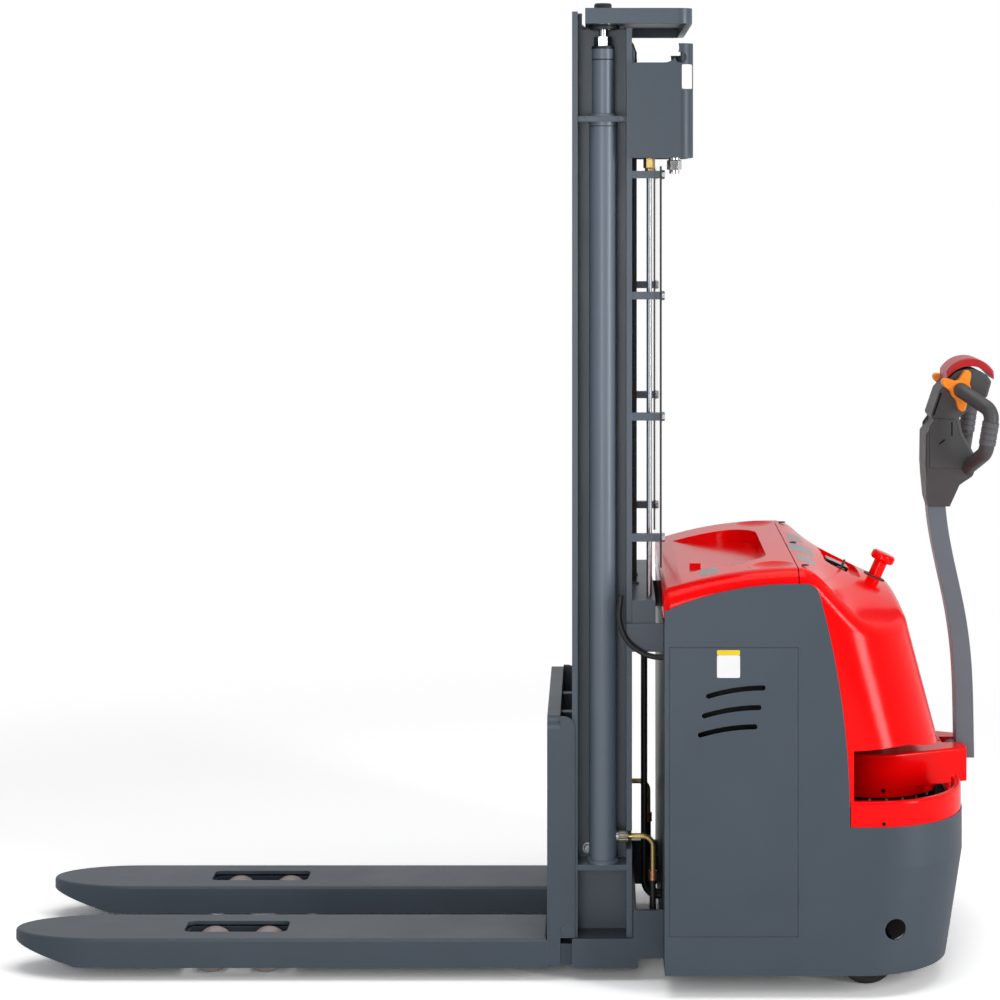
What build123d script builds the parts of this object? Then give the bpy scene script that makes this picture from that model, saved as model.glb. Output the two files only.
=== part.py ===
from build123d import *
import os
from math import atan2, cos, hypot, sin

# Electric pallet stacker in millimetres: +Z up, forks towards -X, tiller towards +X.
# The origin is on the floor, under the middle of the overall length and width.
# Left and right are the operator's, who stands behind the tiller and looks at the forks.

os.makedirs("parts", exist_ok=True)
SIDES = (("left", -1), ("right", 1))

# Driving dimensions: clearances
running_gap = 0.05  # shaft in its own bore, on the radius
slide_gap = 0.4  # rollers and guides beside the rails they run in
seat_gap = 0.3  # turning faces that bear on each other
seam_gap = 2.0  # visible seams between covers
roller_play = 3  # guide rollers beside the webs they run past
hose_hole_gap = 0.3

# Driving dimensions: mast
mast_front_x = 134
rail_depth = 128  # outer rail, front to back
rail_flange = 12
rail_web = 10
rail_out_y = 275
rail_in_y = 165
rail_web_y = 200  # inner face of the outer rail's web
rail_top_z = 2065
rail_step = 35  # cut-away back of the outer rail below its front
inner_play = 4  # between the inner rail's flanges and the outer rail
inner_flange = 10
inner_web = 8
inner_in_y = 115
inner_web_y = 150
crosshead_lift = 9  # crosshead over the cut-away back of the outer rails
mast_foot_gap = 10
foot_overhang = 13  # mast foot behind the rails

# Driving dimensions: forks and carriage
fork_length = 1150
fork_width = 180
fork_spread = 570  # over the outer edges of both forks
fork_top_z = 90
fork_depth = 62
fork_plate = 8
nose_length = 190
nose_ramp = 145
nose_rise = 40
carriage_gap = 25  # carriage plate to mast
carriage_plate = 28
carriage_top_z = 562
carriage_bottom_z = 33

# Driving dimensions: load rollers and support legs
load_roller_d = 82
load_roller_width = 70
roller_spacing = 117
bogie_x = -584.5
axle_d = 20
bogie_pin_d = 18
bogie_plate = 6
leg_side_gap = 5
leg_top_gap = 6
leg_depth = 44
leg_front_x = -745
leg_wall = 10

# Driving dimensions: body
service_gap = 66  # mast to body shell
shell_length = 647
shell_half = 400
shell_wall = 5
shell_corner = 205
shell_bottom_z = 48
shell_rear_top_z = 357
tail_lean = 35  # how far the tail draws in at the floor
tail_lean_z = 270
seam_from_rear = 366  # cover seam ahead of the tail
cover_front_z = 806
cover_seam_z = 864
cover_top_front_z = 846
cover_top_z = 892

# Driving dimensions: drive and steering
steer_from_rear = 173
drive_wheel_d = 230
drive_wheel_width = 75
castor_d = 125
castor_width = 50
castor_trail = 30
castor_from_rear = 185
castor_from_side = 120

# Driving dimensions: tiller
head_r = 147
head_bottom_z = 356
head_height = 94
lug_reach = 204
lug_half = 71
lug_depth = 75
clevis_slot = 56
arm_width = 50
arm_depth = 40
pivot_reach = 183
pivot_z = 422

# Places worked out from the driving dimensions
rail_back_top_z = rail_top_z - rail_step
inner_top_z = rail_back_top_z + crosshead_lift
rail_back_x = mast_front_x + rail_depth
rail_mid_x = mast_front_x + rail_depth / 2
foot_back_x = rail_back_x + foot_overhang
inner_front_x = mast_front_x + rail_flange + inner_play
inner_back_x = rail_back_x - rail_flange - inner_play
inner_out_y = rail_web_y - inner_play
plate_back_x = mast_front_x - carriage_gap
plate_front_x = plate_back_x - carriage_plate
fork_tip_x = plate_front_x - fork_length
fork_out_y = fork_spread / 2
fork_in_y = fork_out_y - fork_width
fork_mid_y = (fork_out_y + fork_in_y) / 2
fork_bottom_z = fork_top_z - fork_depth
fork_under_z = fork_top_z - fork_plate
leg_out_y = fork_out_y - fork_plate - leg_side_gap
leg_in_y = fork_in_y + fork_plate + leg_side_gap
leg_top_z = fork_under_z - leg_top_gap
leg_bottom_z = leg_top_z - leg_depth
load_roller_z = load_roller_d / 2
shell_front_x = rail_back_x + service_gap
shell_rear_x = shell_front_x + shell_length
seam_x = shell_rear_x - seam_from_rear
steer_x = shell_rear_x - steer_from_rear
castor_x = shell_rear_x - castor_from_rear
castor_y = shell_half - castor_from_side
pivot_x = steer_x + pivot_reach
head_top_z = head_bottom_z + head_height


# Small helpers that draw in whichever sub-part is open
def block(x, y, z, mode=Mode.ADD):
    """A box between pairs of limits, given in either order."""
    (x0, x1), (y0, y1), (z0, z1) = sorted(x), sorted(y), sorted(z)
    with Locations(((x0 + x1) / 2, (y0 + y1) / 2, (z0 + z1) / 2)):
        Box(x1 - x0, y1 - y0, z1 - z0, mode=mode)


def rod_x(x, y, z, radius, mode=Mode.ADD):
    """A round bar along X between two limits."""
    with Locations(Location(((x[0] + x[1]) / 2, y, z), (0, 90, 0))):
        Cylinder(radius, abs(x[1] - x[0]), mode=mode)


def rod_y(x, y, z, radius, mode=Mode.ADD):
    """A round bar along Y between two limits."""
    with Locations(Location((x, (y[0] + y[1]) / 2, z), (90, 0, 0))):
        Cylinder(radius, abs(y[1] - y[0]), mode=mode)


def rod_z(x, y, z, radius, mode=Mode.ADD):
    """A round bar along Z between two limits."""
    with Locations((x, y, (z[0] + z[1]) / 2)):
        Cylinder(radius, abs(z[1] - z[0]), mode=mode)


def side_plane(y=0):
    """An upright plane seen from the left: local x is +X, local y is +Z."""
    return Plane(origin=(0, y, 0), x_dir=(1, 0, 0), z_dir=(0, -1, 0))


def keep(build, name):
    """Label a finished sub-part and write it."""
    build.part.label = name
    export_step(build.part, f"parts/{name}.step")


# Forks: inverted channels with a rounded, ramped nose and a slot over the load rollers
slot_length = 222
slot_width = 78
slot_corner = 15
slot_x = -591
fork_edge = 6
nose_solid = 150  # solid length behind the tip
for side, s in SIDES:
    with BuildPart() as fork:
        straight = fork_length - nose_length
        with BuildSketch(Plane.XY.offset(fork_bottom_z)):
            with Locations((plate_front_x - straight / 2, s * fork_mid_y)):
                Rectangle(straight, fork_width)
            with Locations((fork_tip_x + nose_length, s * fork_mid_y)):
                Ellipse(nose_length, fork_width / 2)
        extrude(amount=fork_depth)
        fillet(fork.faces().sort_by(Axis.Z)[-1].outer_wire().edges(), fork_edge)
        cavity_x = (fork_tip_x + nose_solid, plate_front_x)
        cavity_y = (s * (fork_in_y + fork_plate), s * (fork_out_y - fork_plate))
        block(cavity_x, cavity_y, (fork_bottom_z, fork_under_z), Mode.SUBTRACT)
        with BuildSketch(side_plane(s * fork_mid_y)):
            ramp_start = (fork_tip_x + nose_ramp, fork_bottom_z)
            ramp_end = (fork_tip_x, fork_bottom_z + nose_rise)
            Polygon(ramp_start, ramp_end, (fork_tip_x, fork_bottom_z), align=None)
        extrude(amount=fork_width, both=True, mode=Mode.SUBTRACT)
        with BuildSketch(Plane.XY.offset(fork_under_z)):
            with Locations((slot_x, s * fork_mid_y)):
                RectangleRounded(slot_length, slot_width, slot_corner)
        extrude(amount=fork_plate, mode=Mode.SUBTRACT)
    keep(fork, f"fork_{side}")

# Carriage: face plate with leg notches, side cheeks and two roller arms
plate_corner = 25
cheek = 8
cheek_depth = 31
cheek_corner = 22
cheek_boss_z = 107
cheek_boss_r = 14
cheek_boss_proud = 2
cheek_lift = 2  # cheek above the mast foot
arm_in_y = 86
arm_plate = 24
roller_d = 75  # carriage rollers and outer mast rollers
carriage_roller_z = (165, 480)
arm_bottom_z = 112
arm_top_z = 535
roller_pin_r = 12
carriage_roller_y = (inner_in_y + roller_play, inner_web_y - roller_play)
chain_y = 60
chain_width = 15
chain_thick = 12
sheave_pitch_r = 50
sheave_x = 220
sheave_hang = 61  # sheave axis under the crosshead
sheave_z = inner_top_z - sheave_hang
front_strand_x = sheave_x - sheave_pitch_r
rear_strand_x = sheave_x + sheave_pitch_r
front_anchor_z = 450
anchor_block = 40
anchor_margin = 4  # anchor metal beyond the chain
notch_play = 5
with BuildPart() as carriage_frame:
    with BuildSketch(Plane(origin=(plate_front_x, 0, 0), x_dir=(0, 1, 0), z_dir=(1, 0, 0))) as face:
        with Locations((0, (carriage_top_z + carriage_bottom_z) / 2)):
            Rectangle(fork_spread, carriage_top_z - carriage_bottom_z)
        fillet(face.vertices().group_by(Axis.Y)[-1], plate_corner)
    extrude(amount=carriage_plate)
    for side, s in SIDES:
        notch_y = (s * (leg_in_y - notch_play), s * (leg_out_y + notch_play))
        notch_z = (carriage_bottom_z, fork_under_z)
        block((plate_front_x, plate_back_x), notch_y, notch_z, Mode.SUBTRACT)
        with BuildSketch(side_plane(s * fork_out_y)) as cheek_face:
            cheek_mid = plate_back_x + cheek_depth / 2
            cheek_bottom_z = fork_top_z + cheek_lift
            with Locations((cheek_mid, (carriage_top_z + cheek_bottom_z) / 2)):
                Rectangle(cheek_depth, carriage_top_z - cheek_bottom_z)
            rear_corner = cheek_face.vertices().group_by(Axis.Y)[-1].sort_by(Axis.X)[-1]
            fillet(rear_corner, cheek_corner)
        extrude(amount=s * cheek)
        boss_y = (s * (fork_out_y - cheek), s * (fork_out_y + cheek_boss_proud))
        rod_y(cheek_mid, boss_y, cheek_boss_z, cheek_boss_r)
        with BuildSketch(side_plane(s * (arm_in_y + arm_plate / 2))) as arm_face:
            arm_reach = rail_mid_x + roller_d / 2 - plate_back_x
            with Locations((plate_back_x + arm_reach / 2, (arm_bottom_z + arm_top_z) / 2)):
                Rectangle(arm_reach, arm_top_z - arm_bottom_z)
            fillet(arm_face.vertices().group_by(Axis.X)[-1], roller_d / 2)
        extrude(amount=arm_plate / 2, both=True)
        for z in carriage_roller_z:
            pin_y = (s * (arm_in_y + arm_plate / 2), s * carriage_roller_y[1])
            rod_y(rail_mid_x, pin_y, z, roller_pin_r)
        anchor_x = (plate_back_x, front_strand_x + chain_thick / 2 + anchor_margin)
        anchor_y = (s * (chain_y - chain_width / 2 - anchor_margin), s * arm_in_y)
        block(anchor_x, anchor_y, (front_anchor_z - anchor_block, front_anchor_z))
keep(carriage_frame, "carriage_frame")

with BuildPart() as carriage_rollers:
    for side, s in SIDES:
        for z in carriage_roller_z:
            wheel_y = [s * y for y in carriage_roller_y]
            rod_y(rail_mid_x, wheel_y, z, roller_d / 2)
            rod_y(rail_mid_x, wheel_y, z, roller_pin_r, Mode.SUBTRACT)
keep(carriage_rollers, "carriage_rollers")

# Support legs under the forks, each with a window and a cross pin for the roller bogie
window_end_gap = 14
window_side_gap = 5
bogie_side_gap = 1
bogie_half = load_roller_width / 2 + bogie_side_gap + bogie_plate
window_half_x = roller_spacing / 2 + load_roller_d / 2 + window_end_gap
window_half_y = bogie_half + window_side_gap
leg_nose_r = 30
for side, s in SIDES:
    with BuildPart() as leg:
        leg_y = (s * leg_in_y, s * leg_out_y)
        block((leg_front_x, mast_front_x), leg_y, (leg_bottom_z, leg_top_z))
        fillet(leg.edges().filter_by(Axis.Z).group_by(Axis.X)[0], leg_nose_r)
        window_x = (bogie_x - window_half_x, bogie_x + window_half_x)
        window_y = (s * (fork_mid_y - window_half_y), s * (fork_mid_y + window_half_y))
        block(window_x, window_y, (leg_bottom_z, leg_top_z), Mode.SUBTRACT)
        hollow_x = (bogie_x + window_half_x + leg_wall, mast_front_x - leg_wall)
        hollow_y = (s * (leg_in_y + leg_wall), s * (leg_out_y - leg_wall))
        block(hollow_x, hollow_y, (leg_bottom_z, leg_top_z - leg_wall), Mode.SUBTRACT)
        pin_y = (s * (fork_mid_y - window_half_y - leg_wall), s * (fork_mid_y + window_half_y + leg_wall))
        rod_y(bogie_x, pin_y, load_roller_z, bogie_pin_d / 2)
    keep(leg, f"support_leg_{side}")

# Tandem bogies: two side plates and two axles that rock on the leg's cross pin
bogie_plate_half = 15
for side, s in SIDES:
    with BuildPart() as bogie:
        for way in (-1, 1):
            plate_mid = s * fork_mid_y + way * (bogie_half - bogie_plate / 2)
            with BuildSketch(side_plane(plate_mid)):
                with Locations((bogie_x, load_roller_z)):
                    SlotCenterToCenter(roller_spacing, 2 * bogie_plate_half)
                    Circle(bogie_pin_d / 2 + running_gap, mode=Mode.SUBTRACT)
            extrude(amount=bogie_plate / 2, both=True)
        for end in (-1, 1):
            axle_y = (s * fork_mid_y - bogie_half, s * fork_mid_y + bogie_half)
            rod_y(bogie_x + end * roller_spacing / 2, axle_y, load_roller_z, axle_d / 2)
    keep(bogie, f"bogie_{side}")

# Polyurethane load rollers, a pair in each bogie
tread_round = 6
for side, s in SIDES:
    for place, end in (("front", -1), ("rear", 1)):
        with BuildPart() as load_roller:
            roller_x = bogie_x + end * roller_spacing / 2
            half = load_roller_width / 2
            tread_y = (s * fork_mid_y - half, s * fork_mid_y + half)
            rod_y(roller_x, tread_y, load_roller_z, load_roller_d / 2)
            fillet(load_roller.edges().filter_by(GeomType.CIRCLE), tread_round)
            rod_y(roller_x, tread_y, load_roller_z, axle_d / 2 + running_gap, Mode.SUBTRACT)
        keep(load_roller, f"load_roller_{side}_{place}")

# Outer mast rails: H sections standing on the mast foot, with a shelf for the lift cylinder
shelf_z = 245
shelf_plate = 12
rail_horn = 21  # front of the rail that stands up past the crosshead
rail_cut_x = mast_front_x + rail_horn
pipe_notch_z = (278, 318)
cylinder_x = 200
cylinder_y = 243
foot_top_z = fork_top_z
web_hole_r = 9
web_hole_z = (420, 1150, 1700)
top_roller_drop = 45
top_roller_z = rail_back_top_z - top_roller_drop
for side, s in SIDES:
    with BuildPart() as outer_rail:
        rail_y = (s * rail_in_y, s * rail_out_y)
        rail_z = (foot_top_z, rail_top_z)
        block((mast_front_x, mast_front_x + rail_flange), rail_y, rail_z)
        block((rail_back_x - rail_flange, rail_back_x), rail_y, rail_z)
        web_y = (s * rail_web_y, s * (rail_web_y + rail_web))
        block((mast_front_x, rail_back_x), web_y, rail_z)
        shelf_y = (s * rail_web_y, s * rail_out_y)
        block((mast_front_x, rail_back_x), shelf_y, (shelf_z - shelf_plate, shelf_z))
        block((rail_cut_x, rail_back_x), rail_y, (rail_back_top_z, rail_top_z), Mode.SUBTRACT)
        notch_y = (s * (rail_web_y + rail_web), s * rail_out_y)
        block((rail_back_x - rail_flange, rail_back_x), notch_y, pipe_notch_z, Mode.SUBTRACT)
        for z in web_hole_z:
            rod_y(rail_mid_x, web_y, z, web_hole_r, Mode.SUBTRACT)
        pin_y = (s * (rail_web_y + rail_web / 2), s * (inner_web_y + inner_web + roller_play))
        rod_y(rail_mid_x, pin_y, top_roller_z, roller_pin_r)
    keep(outer_rail, f"outer_rail_{side}")

outer_roller_y = (inner_web_y + inner_web + roller_play, rail_web_y - roller_play)
with BuildPart() as outer_mast_rollers:
    for side, s in SIDES:
        wheel_y = [s * y for y in outer_roller_y]
        rod_y(rail_mid_x, wheel_y, top_roller_z, roller_d / 2)
        rod_y(rail_mid_x, wheel_y, top_roller_z, roller_pin_r, Mode.SUBTRACT)
keep(outer_mast_rollers, "outer_mast_rollers")

# Lift cylinders: barrel, narrower gland and a port for the feed pipe
barrel_r = 29.5
barrel_bore_r = 24
gland_r = 23.5
gland_drop = 47  # top of the gland under the crosshead
gland_length = 150
gland_top_z = inner_top_z - gland_drop
barrel_top_z = gland_top_z - gland_length
rod_r = 17
base_cap = 30
gland_seat = 20  # length of the gland inside the barrel
port_z = 298
port_r = 9
port_reach = 34
for side, s in SIDES:
    with BuildPart() as lift_cylinder:
        rod_z(cylinder_x, s * cylinder_y, (shelf_z, barrel_top_z), barrel_r)
        rod_z(cylinder_x, s * cylinder_y, (barrel_top_z, gland_top_z), gland_r)
        bore_z = (shelf_z + base_cap, barrel_top_z - gland_seat)
        rod_z(cylinder_x, s * cylinder_y, bore_z, barrel_bore_r, Mode.SUBTRACT)
        hole_z = (barrel_top_z - gland_seat, gland_top_z)
        rod_z(cylinder_x, s * cylinder_y, hole_z, rod_r + running_gap, Mode.SUBTRACT)
        port_x = (cylinder_x + (barrel_bore_r + barrel_r) / 2, cylinder_x + port_reach)
        rod_x(port_x, s * cylinder_y, port_z, port_r)
    keep(lift_cylinder, f"lift_cylinder_{side}")

# Clamp straps round the barrel tops, each held by two bolts
strap = 12
strap_inset = 1
strap_x = (mast_front_x + rail_flange, rail_back_x - rail_flange)
clamp_bolt_r = 5
clamp_bolt_edge = 10
clamp_bolt_reach = 6
with BuildPart() as cylinder_clamps:
    for side, s in SIDES:
        strap_out_y = rail_out_y - strap_inset
        strap_y = (s * (rail_web_y + rail_web), s * strap_out_y)
        strap_z = (barrel_top_z - strap, barrel_top_z)
        block(strap_x, strap_y, strap_z)
        rod_z(cylinder_x, s * cylinder_y, strap_z, barrel_r, Mode.SUBTRACT)
        for x in (strap_x[0] + clamp_bolt_edge, strap_x[1] - clamp_bolt_edge):
            bolt_y = (s * strap_out_y, s * (strap_out_y + clamp_bolt_reach))
            rod_y(x, bolt_y, barrel_top_z - strap / 2, clamp_bolt_r)
keep(cylinder_clamps, "cylinder_clamps")

# Upper tie: a bent plate round the back of the mast, with lifting holes in its ears
tie_plate = 8
tie_back_x = 393
tie_bend_r = 28
tie_ear_drop = 42  # ears under the crosshead
tie_ear = 41
tie_height = 244
tie_ear_top_z = inner_top_z - tie_ear_drop
tie_front_top_z = tie_ear_top_z - tie_ear
tie_bottom_z = tie_ear_top_z - tie_height
tie_front_x = rail_back_x - rail_flange
ear_start_x = 330
ear_full_x = 361
tie_floor = 8.5
tie_floor_width = 70
lift_hole_r = 12
lift_hole_x = 366
lift_hole_drop = 30
lift_hole_z = tie_ear_top_z - lift_hole_drop
tie_out_y = rail_out_y + tie_plate
with BuildPart() as mast_upper_tie:
    with BuildSketch(Plane.XY.offset(tie_bottom_z)) as tie_plan:
        with Locations(((tie_front_x + tie_back_x) / 2, 0)):
            Rectangle(tie_back_x - tie_front_x, 2 * tie_out_y)
        fillet(tie_plan.vertices().group_by(Axis.X)[-1], tie_bend_r)
    extrude(amount=tie_ear_top_z - tie_bottom_z)
    with BuildSketch(Plane.XY.offset(tie_bottom_z)) as tie_inside:
        inside_length = tie_back_x - tie_plate - tie_front_x
        with Locations((tie_front_x + inside_length / 2, 0)):
            Rectangle(inside_length, 2 * rail_out_y)
        fillet(tie_inside.vertices().group_by(Axis.X)[-1], tie_bend_r - tie_plate)
    extrude(amount=tie_ear_top_z - tie_bottom_z, mode=Mode.SUBTRACT)
    with BuildSketch(side_plane()):
        with BuildLine():
            Line((tie_front_x, tie_ear_top_z), (tie_front_x, tie_front_top_z))
            Line((tie_front_x, tie_front_top_z), (ear_start_x, tie_front_top_z))
            TangentArc((ear_start_x, tie_front_top_z), (ear_full_x, tie_ear_top_z), tangent=(1, 0))
            Line((ear_full_x, tie_ear_top_z), (tie_front_x, tie_ear_top_z))
        make_face()
    extrude(amount=tie_out_y, both=True, mode=Mode.SUBTRACT)
    floor_x = (rail_back_x, tie_back_x - tie_plate)
    for side, s in SIDES:
        floor_y = (s * (rail_out_y - tie_floor_width), s * rail_out_y)
        block(floor_x, floor_y, (tie_bottom_z, tie_bottom_z + tie_floor))
        rod_y(lift_hole_x, (s * rail_out_y, s * tie_out_y), lift_hole_z, lift_hole_r, Mode.SUBTRACT)
keep(mast_upper_tie, "mast_upper_tie")

# Lower tie: cross block that holds the chain anchors, with brackets to the body
lower_tie_z = (755, 810)
lower_tie_depth = 50
lower_tie_x = (rail_back_x, rail_back_x + lower_tie_depth)
bracket_z = (701, 761)
bracket_plate = 10
clevis = 5
anchor_top_z = lower_tie_z[1] + clevis
with BuildPart() as mast_lower_tie:
    block(lower_tie_x, (-rail_out_y, rail_out_y), lower_tie_z)
    for side, s in SIDES:
        bracket_y = (s * rail_out_y, s * (rail_out_y + bracket_plate))
        block((rail_back_x - rail_flange, shell_front_x), bracket_y, bracket_z)
        join_z = (bracket_z[0], lower_tie_z[1])
        join_y = (s * (rail_out_y - bracket_plate), s * (rail_out_y + bracket_plate / 2))
        block(lower_tie_x, join_y, join_z)
        clevis_half = chain_width / 2 + anchor_margin
        clevis_y = (s * (chain_y - clevis_half), s * (chain_y + clevis_half))
        clevis_x = (rear_strand_x - chain_thick / 2, rear_strand_x + chain_thick / 2 + anchor_margin)
        block(clevis_x, clevis_y, (lower_tie_z[1], anchor_top_z))
keep(mast_lower_tie, "mast_lower_tie")

# Mast guard: a clear sheet on tabs behind the rails, held by small bolts
guard_x = 321
guard_sheet = 4
guard_bottom_z = 880
guard_drop = 18  # top of the guard under the upper tie
guard_z = (guard_bottom_z, tie_bottom_z - guard_drop)
guard_half = 284
tab_count = 4
tab_low_rise = 62
tab_high_drop = 18
tab_pitch = (guard_z[1] - tab_high_drop - guard_z[0] - tab_low_rise) / (tab_count - 1)
tab_z = [guard_z[0] + tab_low_rise + i * tab_pitch for i in range(tab_count)]
tab_half = 8
tab_width = 18
guard_bolt_r = 5
guard_head_r = 8
guard_head = 6
tab_y = rail_out_y - tab_width / 2
with BuildPart() as mast_guard:
    block((guard_x, guard_x + guard_sheet), (-guard_half, guard_half), guard_z)
    for side, s in SIDES:
        for z in tab_z:
            hole_x = (guard_x, guard_x + guard_sheet)
            rod_x(hole_x, s * tab_y, z, guard_bolt_r, Mode.SUBTRACT)
keep(mast_guard, "mast_guard")

with BuildPart() as guard_brackets:
    for side, s in SIDES:
        for z in tab_z:
            tab_limits = (s * (rail_out_y - tab_width), s * rail_out_y)
            block((rail_back_x, guard_x), tab_limits, (z - tab_half, z + tab_half))
            rod_x((guard_x, guard_x + guard_sheet), s * tab_y, z, guard_bolt_r)
            head_x = (guard_x + guard_sheet, guard_x + guard_sheet + guard_head)
            rod_x(head_x, s * tab_y, z, guard_head_r)
keep(guard_brackets, "guard_brackets")

# Riser pipe behind the mast and its fittings under the upper tie
riser_x = 300
riser_y = -215
riser_r = 6
riser_nut_r = 12
riser_nut = 22
with BuildPart() as riser_pipe:
    rod_z(riser_x, riser_y, (lower_tie_z[1], tie_bottom_z), riser_r)
    with BuildSketch(Plane.XY.offset(tie_bottom_z - riser_nut)):
        with Locations((riser_x, riser_y)):
            RegularPolygon(riser_nut_r, 6)
    extrude(amount=riser_nut)
keep(riser_pipe, "riser_pipe")

# Feed pipes from the cylinder ports, bent down to a ferrule and a hose into the body
feed_r = 6
feed_bend_r = 22
feed_x = 307
feed_end_z = 204
ferrule_r = 9
ferrule = 20
nut_r = 12
with BuildPart() as feed_pipes:
    for side, s in SIDES:
        start_x = cylinder_x + port_reach
        with BuildLine():
            FilletPolyline(
                (start_x, s * cylinder_y, port_z),
                (feed_x, s * cylinder_y, port_z),
                (feed_x, s * cylinder_y, feed_end_z),
                radius=feed_bend_r,
            )
        with BuildSketch(Plane(origin=(start_x, s * cylinder_y, port_z), z_dir=(1, 0, 0))):
            Circle(feed_r)
        sweep()
        with BuildSketch(Plane(origin=(start_x, s * cylinder_y, port_z), z_dir=(1, 0, 0))):
            RegularPolygon(nut_r, 6)
        extrude(amount=ferrule)
        rod_z(feed_x, s * cylinder_y, (feed_end_z, feed_end_z + ferrule), ferrule_r)
keep(feed_pipes, "feed_pipes")

# Supply hoses down the gap behind the mast, and the cable that loops over the rail
hose_r = 7
hose_bend_r = 40
hose_entry_z = 120
main_hose_y = (-40, -70)
main_hose_x = 292
cable_r = 6
cable_gap = 0.3
cable_y = rail_out_y + bracket_plate + cable_r + cable_gap
cable_entry = 15  # length of cable inside the body
cable_points = [
    (238, -cable_y, 822),
    (232, -cable_y, 772),
    (250, -cable_y, 722),
    (296, -cable_y, 692),
    (shell_front_x + cable_entry, -cable_y, 690),
]
cable_radii = [95, 71, 77]
with BuildPart() as supply_hoses:
    for y in main_hose_y:
        with BuildLine():
            FilletPolyline(
                (main_hose_x, y, lower_tie_z[0]),
                (main_hose_x, y, hose_entry_z),
                (shell_front_x + hose_bend_r, y, hose_entry_z),
                radius=hose_bend_r - hose_r,
            )
        with BuildSketch(Plane.XY.offset(lower_tie_z[0])):
            with Locations((main_hose_x, y)):
                Circle(hose_r)
        sweep()
    for side, s in SIDES:
        with BuildLine():
            FilletPolyline(
                (feed_x, s * cylinder_y, feed_end_z),
                (feed_x, s * cylinder_y, hose_entry_z),
                (shell_front_x + hose_bend_r, s * cylinder_y, hose_entry_z),
                radius=feed_bend_r - seam_gap,
            )
        with BuildSketch(Plane.XY.offset(feed_end_z)):
            with Locations((feed_x, s * cylinder_y)):
                Circle(hose_r)
        sweep()
    with BuildLine():
        FilletPolyline(*cable_points, radius=cable_radii)
    cable_start = Vector(*cable_points[0])
    with BuildSketch(Plane(origin=cable_start, z_dir=Vector(*cable_points[1]) - cable_start)):
        Circle(cable_r)
    sweep()
keep(supply_hoses, "supply_hoses")

# Inner mast: two rails that nest in the outer ones, a rear tie and stub pins for its rollers
inner_bottom_z = foot_top_z + mast_foot_gap
inner_roller_d = rail_depth - 2 * rail_flange - 2 * slide_gap
inner_roller_rise = 60
inner_roller_z = inner_bottom_z + inner_roller_rise
inner_roller_y = (inner_web_y + inner_web + roller_play, rail_web_y - roller_play)
notch_half = inner_roller_d / 2 + inner_play
inner_tie_rise = 10
inner_tie_height = 80
inner_tie_z = (inner_bottom_z + inner_tie_rise, inner_bottom_z + inner_tie_rise + inner_tie_height)
inner_tie = 8
with BuildPart() as inner_mast_frame:
    for side, s in SIDES:
        flange_y = (s * inner_in_y, s * inner_out_y)
        inner_z = (inner_bottom_z, inner_top_z)
        block((inner_front_x, inner_front_x + inner_flange), flange_y, inner_z)
        block((inner_back_x - inner_flange, inner_back_x), flange_y, inner_z)
        web_y = (s * inner_web_y, s * (inner_web_y + inner_web))
        block((inner_front_x, inner_back_x), web_y, inner_z)
        notch_y = (s * (inner_web_y + inner_web), s * inner_out_y)
        notch_z = (inner_bottom_z, inner_roller_z + notch_half)
        block((inner_front_x, inner_back_x), notch_y, notch_z, Mode.SUBTRACT)
        pin_y = (s * (inner_web_y + inner_web / 2), s * inner_roller_y[1])
        rod_y(rail_mid_x, pin_y, inner_roller_z, roller_pin_r)
    block((inner_back_x, inner_back_x + inner_tie), (-inner_web_y, inner_web_y), inner_tie_z)
keep(inner_mast_frame, "inner_mast_frame")

with BuildPart() as inner_mast_rollers:
    for side, s in SIDES:
        wheel_y = [s * y for y in inner_roller_y]
        rod_y(rail_mid_x, wheel_y, inner_roller_z, inner_roller_d / 2)
        rod_y(rail_mid_x, wheel_y, inner_roller_z, roller_pin_r, Mode.SUBTRACT)
keep(inner_mast_rollers, "inner_mast_rollers")

# Crosshead: plate over the mast with a thick rim, cap nuts over the rods and sheave hangers
crosshead_front_x = 162
crosshead_back_x = 391
crosshead_half = 285
crosshead_depth = 33
crosshead_plate = 12
crosshead_corner = 30
rim = 14
cap_r = 17
cap_height = 12
sheave_pin_r = 12
hanger_plate = 10
hanger_half_x = 22
sheave_width = 24
hanger_gap = 2
hanger_in_y = chain_y + sheave_width / 2 + hanger_gap
hanger_y = (hanger_in_y, hanger_in_y + hanger_plate)
with BuildPart() as crosshead:
    crosshead_length = crosshead_back_x - crosshead_front_x
    with BuildSketch(Plane.XY.offset(inner_top_z)) as crosshead_plan:
        with Locations(((crosshead_front_x + crosshead_back_x) / 2, 0)):
            Rectangle(crosshead_length, 2 * crosshead_half)
        fillet(crosshead_plan.vertices().group_by(Axis.X)[-1], crosshead_corner)
    extrude(amount=crosshead_depth)
    tray_x = (inner_back_x, crosshead_back_x - rim)
    tray_y = (-crosshead_half + rim, crosshead_half - rim)
    tray_z = (inner_top_z, inner_top_z + crosshead_depth - crosshead_plate)
    block(tray_x, tray_y, tray_z, Mode.SUBTRACT)
    for side, s in SIDES:
        cap_z = (inner_top_z + crosshead_depth, inner_top_z + crosshead_depth + cap_height)
        rod_z(cylinder_x, s * cylinder_y, cap_z, cap_r)
        with BuildSketch(side_plane(s * hanger_y[0])) as hanger:
            with Locations((sheave_x, (inner_top_z + sheave_z) / 2)):
                Rectangle(2 * hanger_half_x, inner_top_z - sheave_z)
            with Locations((sheave_x, sheave_z)):
                Circle(hanger_half_x)
        extrude(amount=-s * hanger_plate)
        pin_y = (s * (chain_y - sheave_width / 2), s * hanger_y[1])
        rod_y(sheave_x, pin_y, sheave_z, sheave_pin_r)
keep(crosshead, "crosshead")

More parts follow.
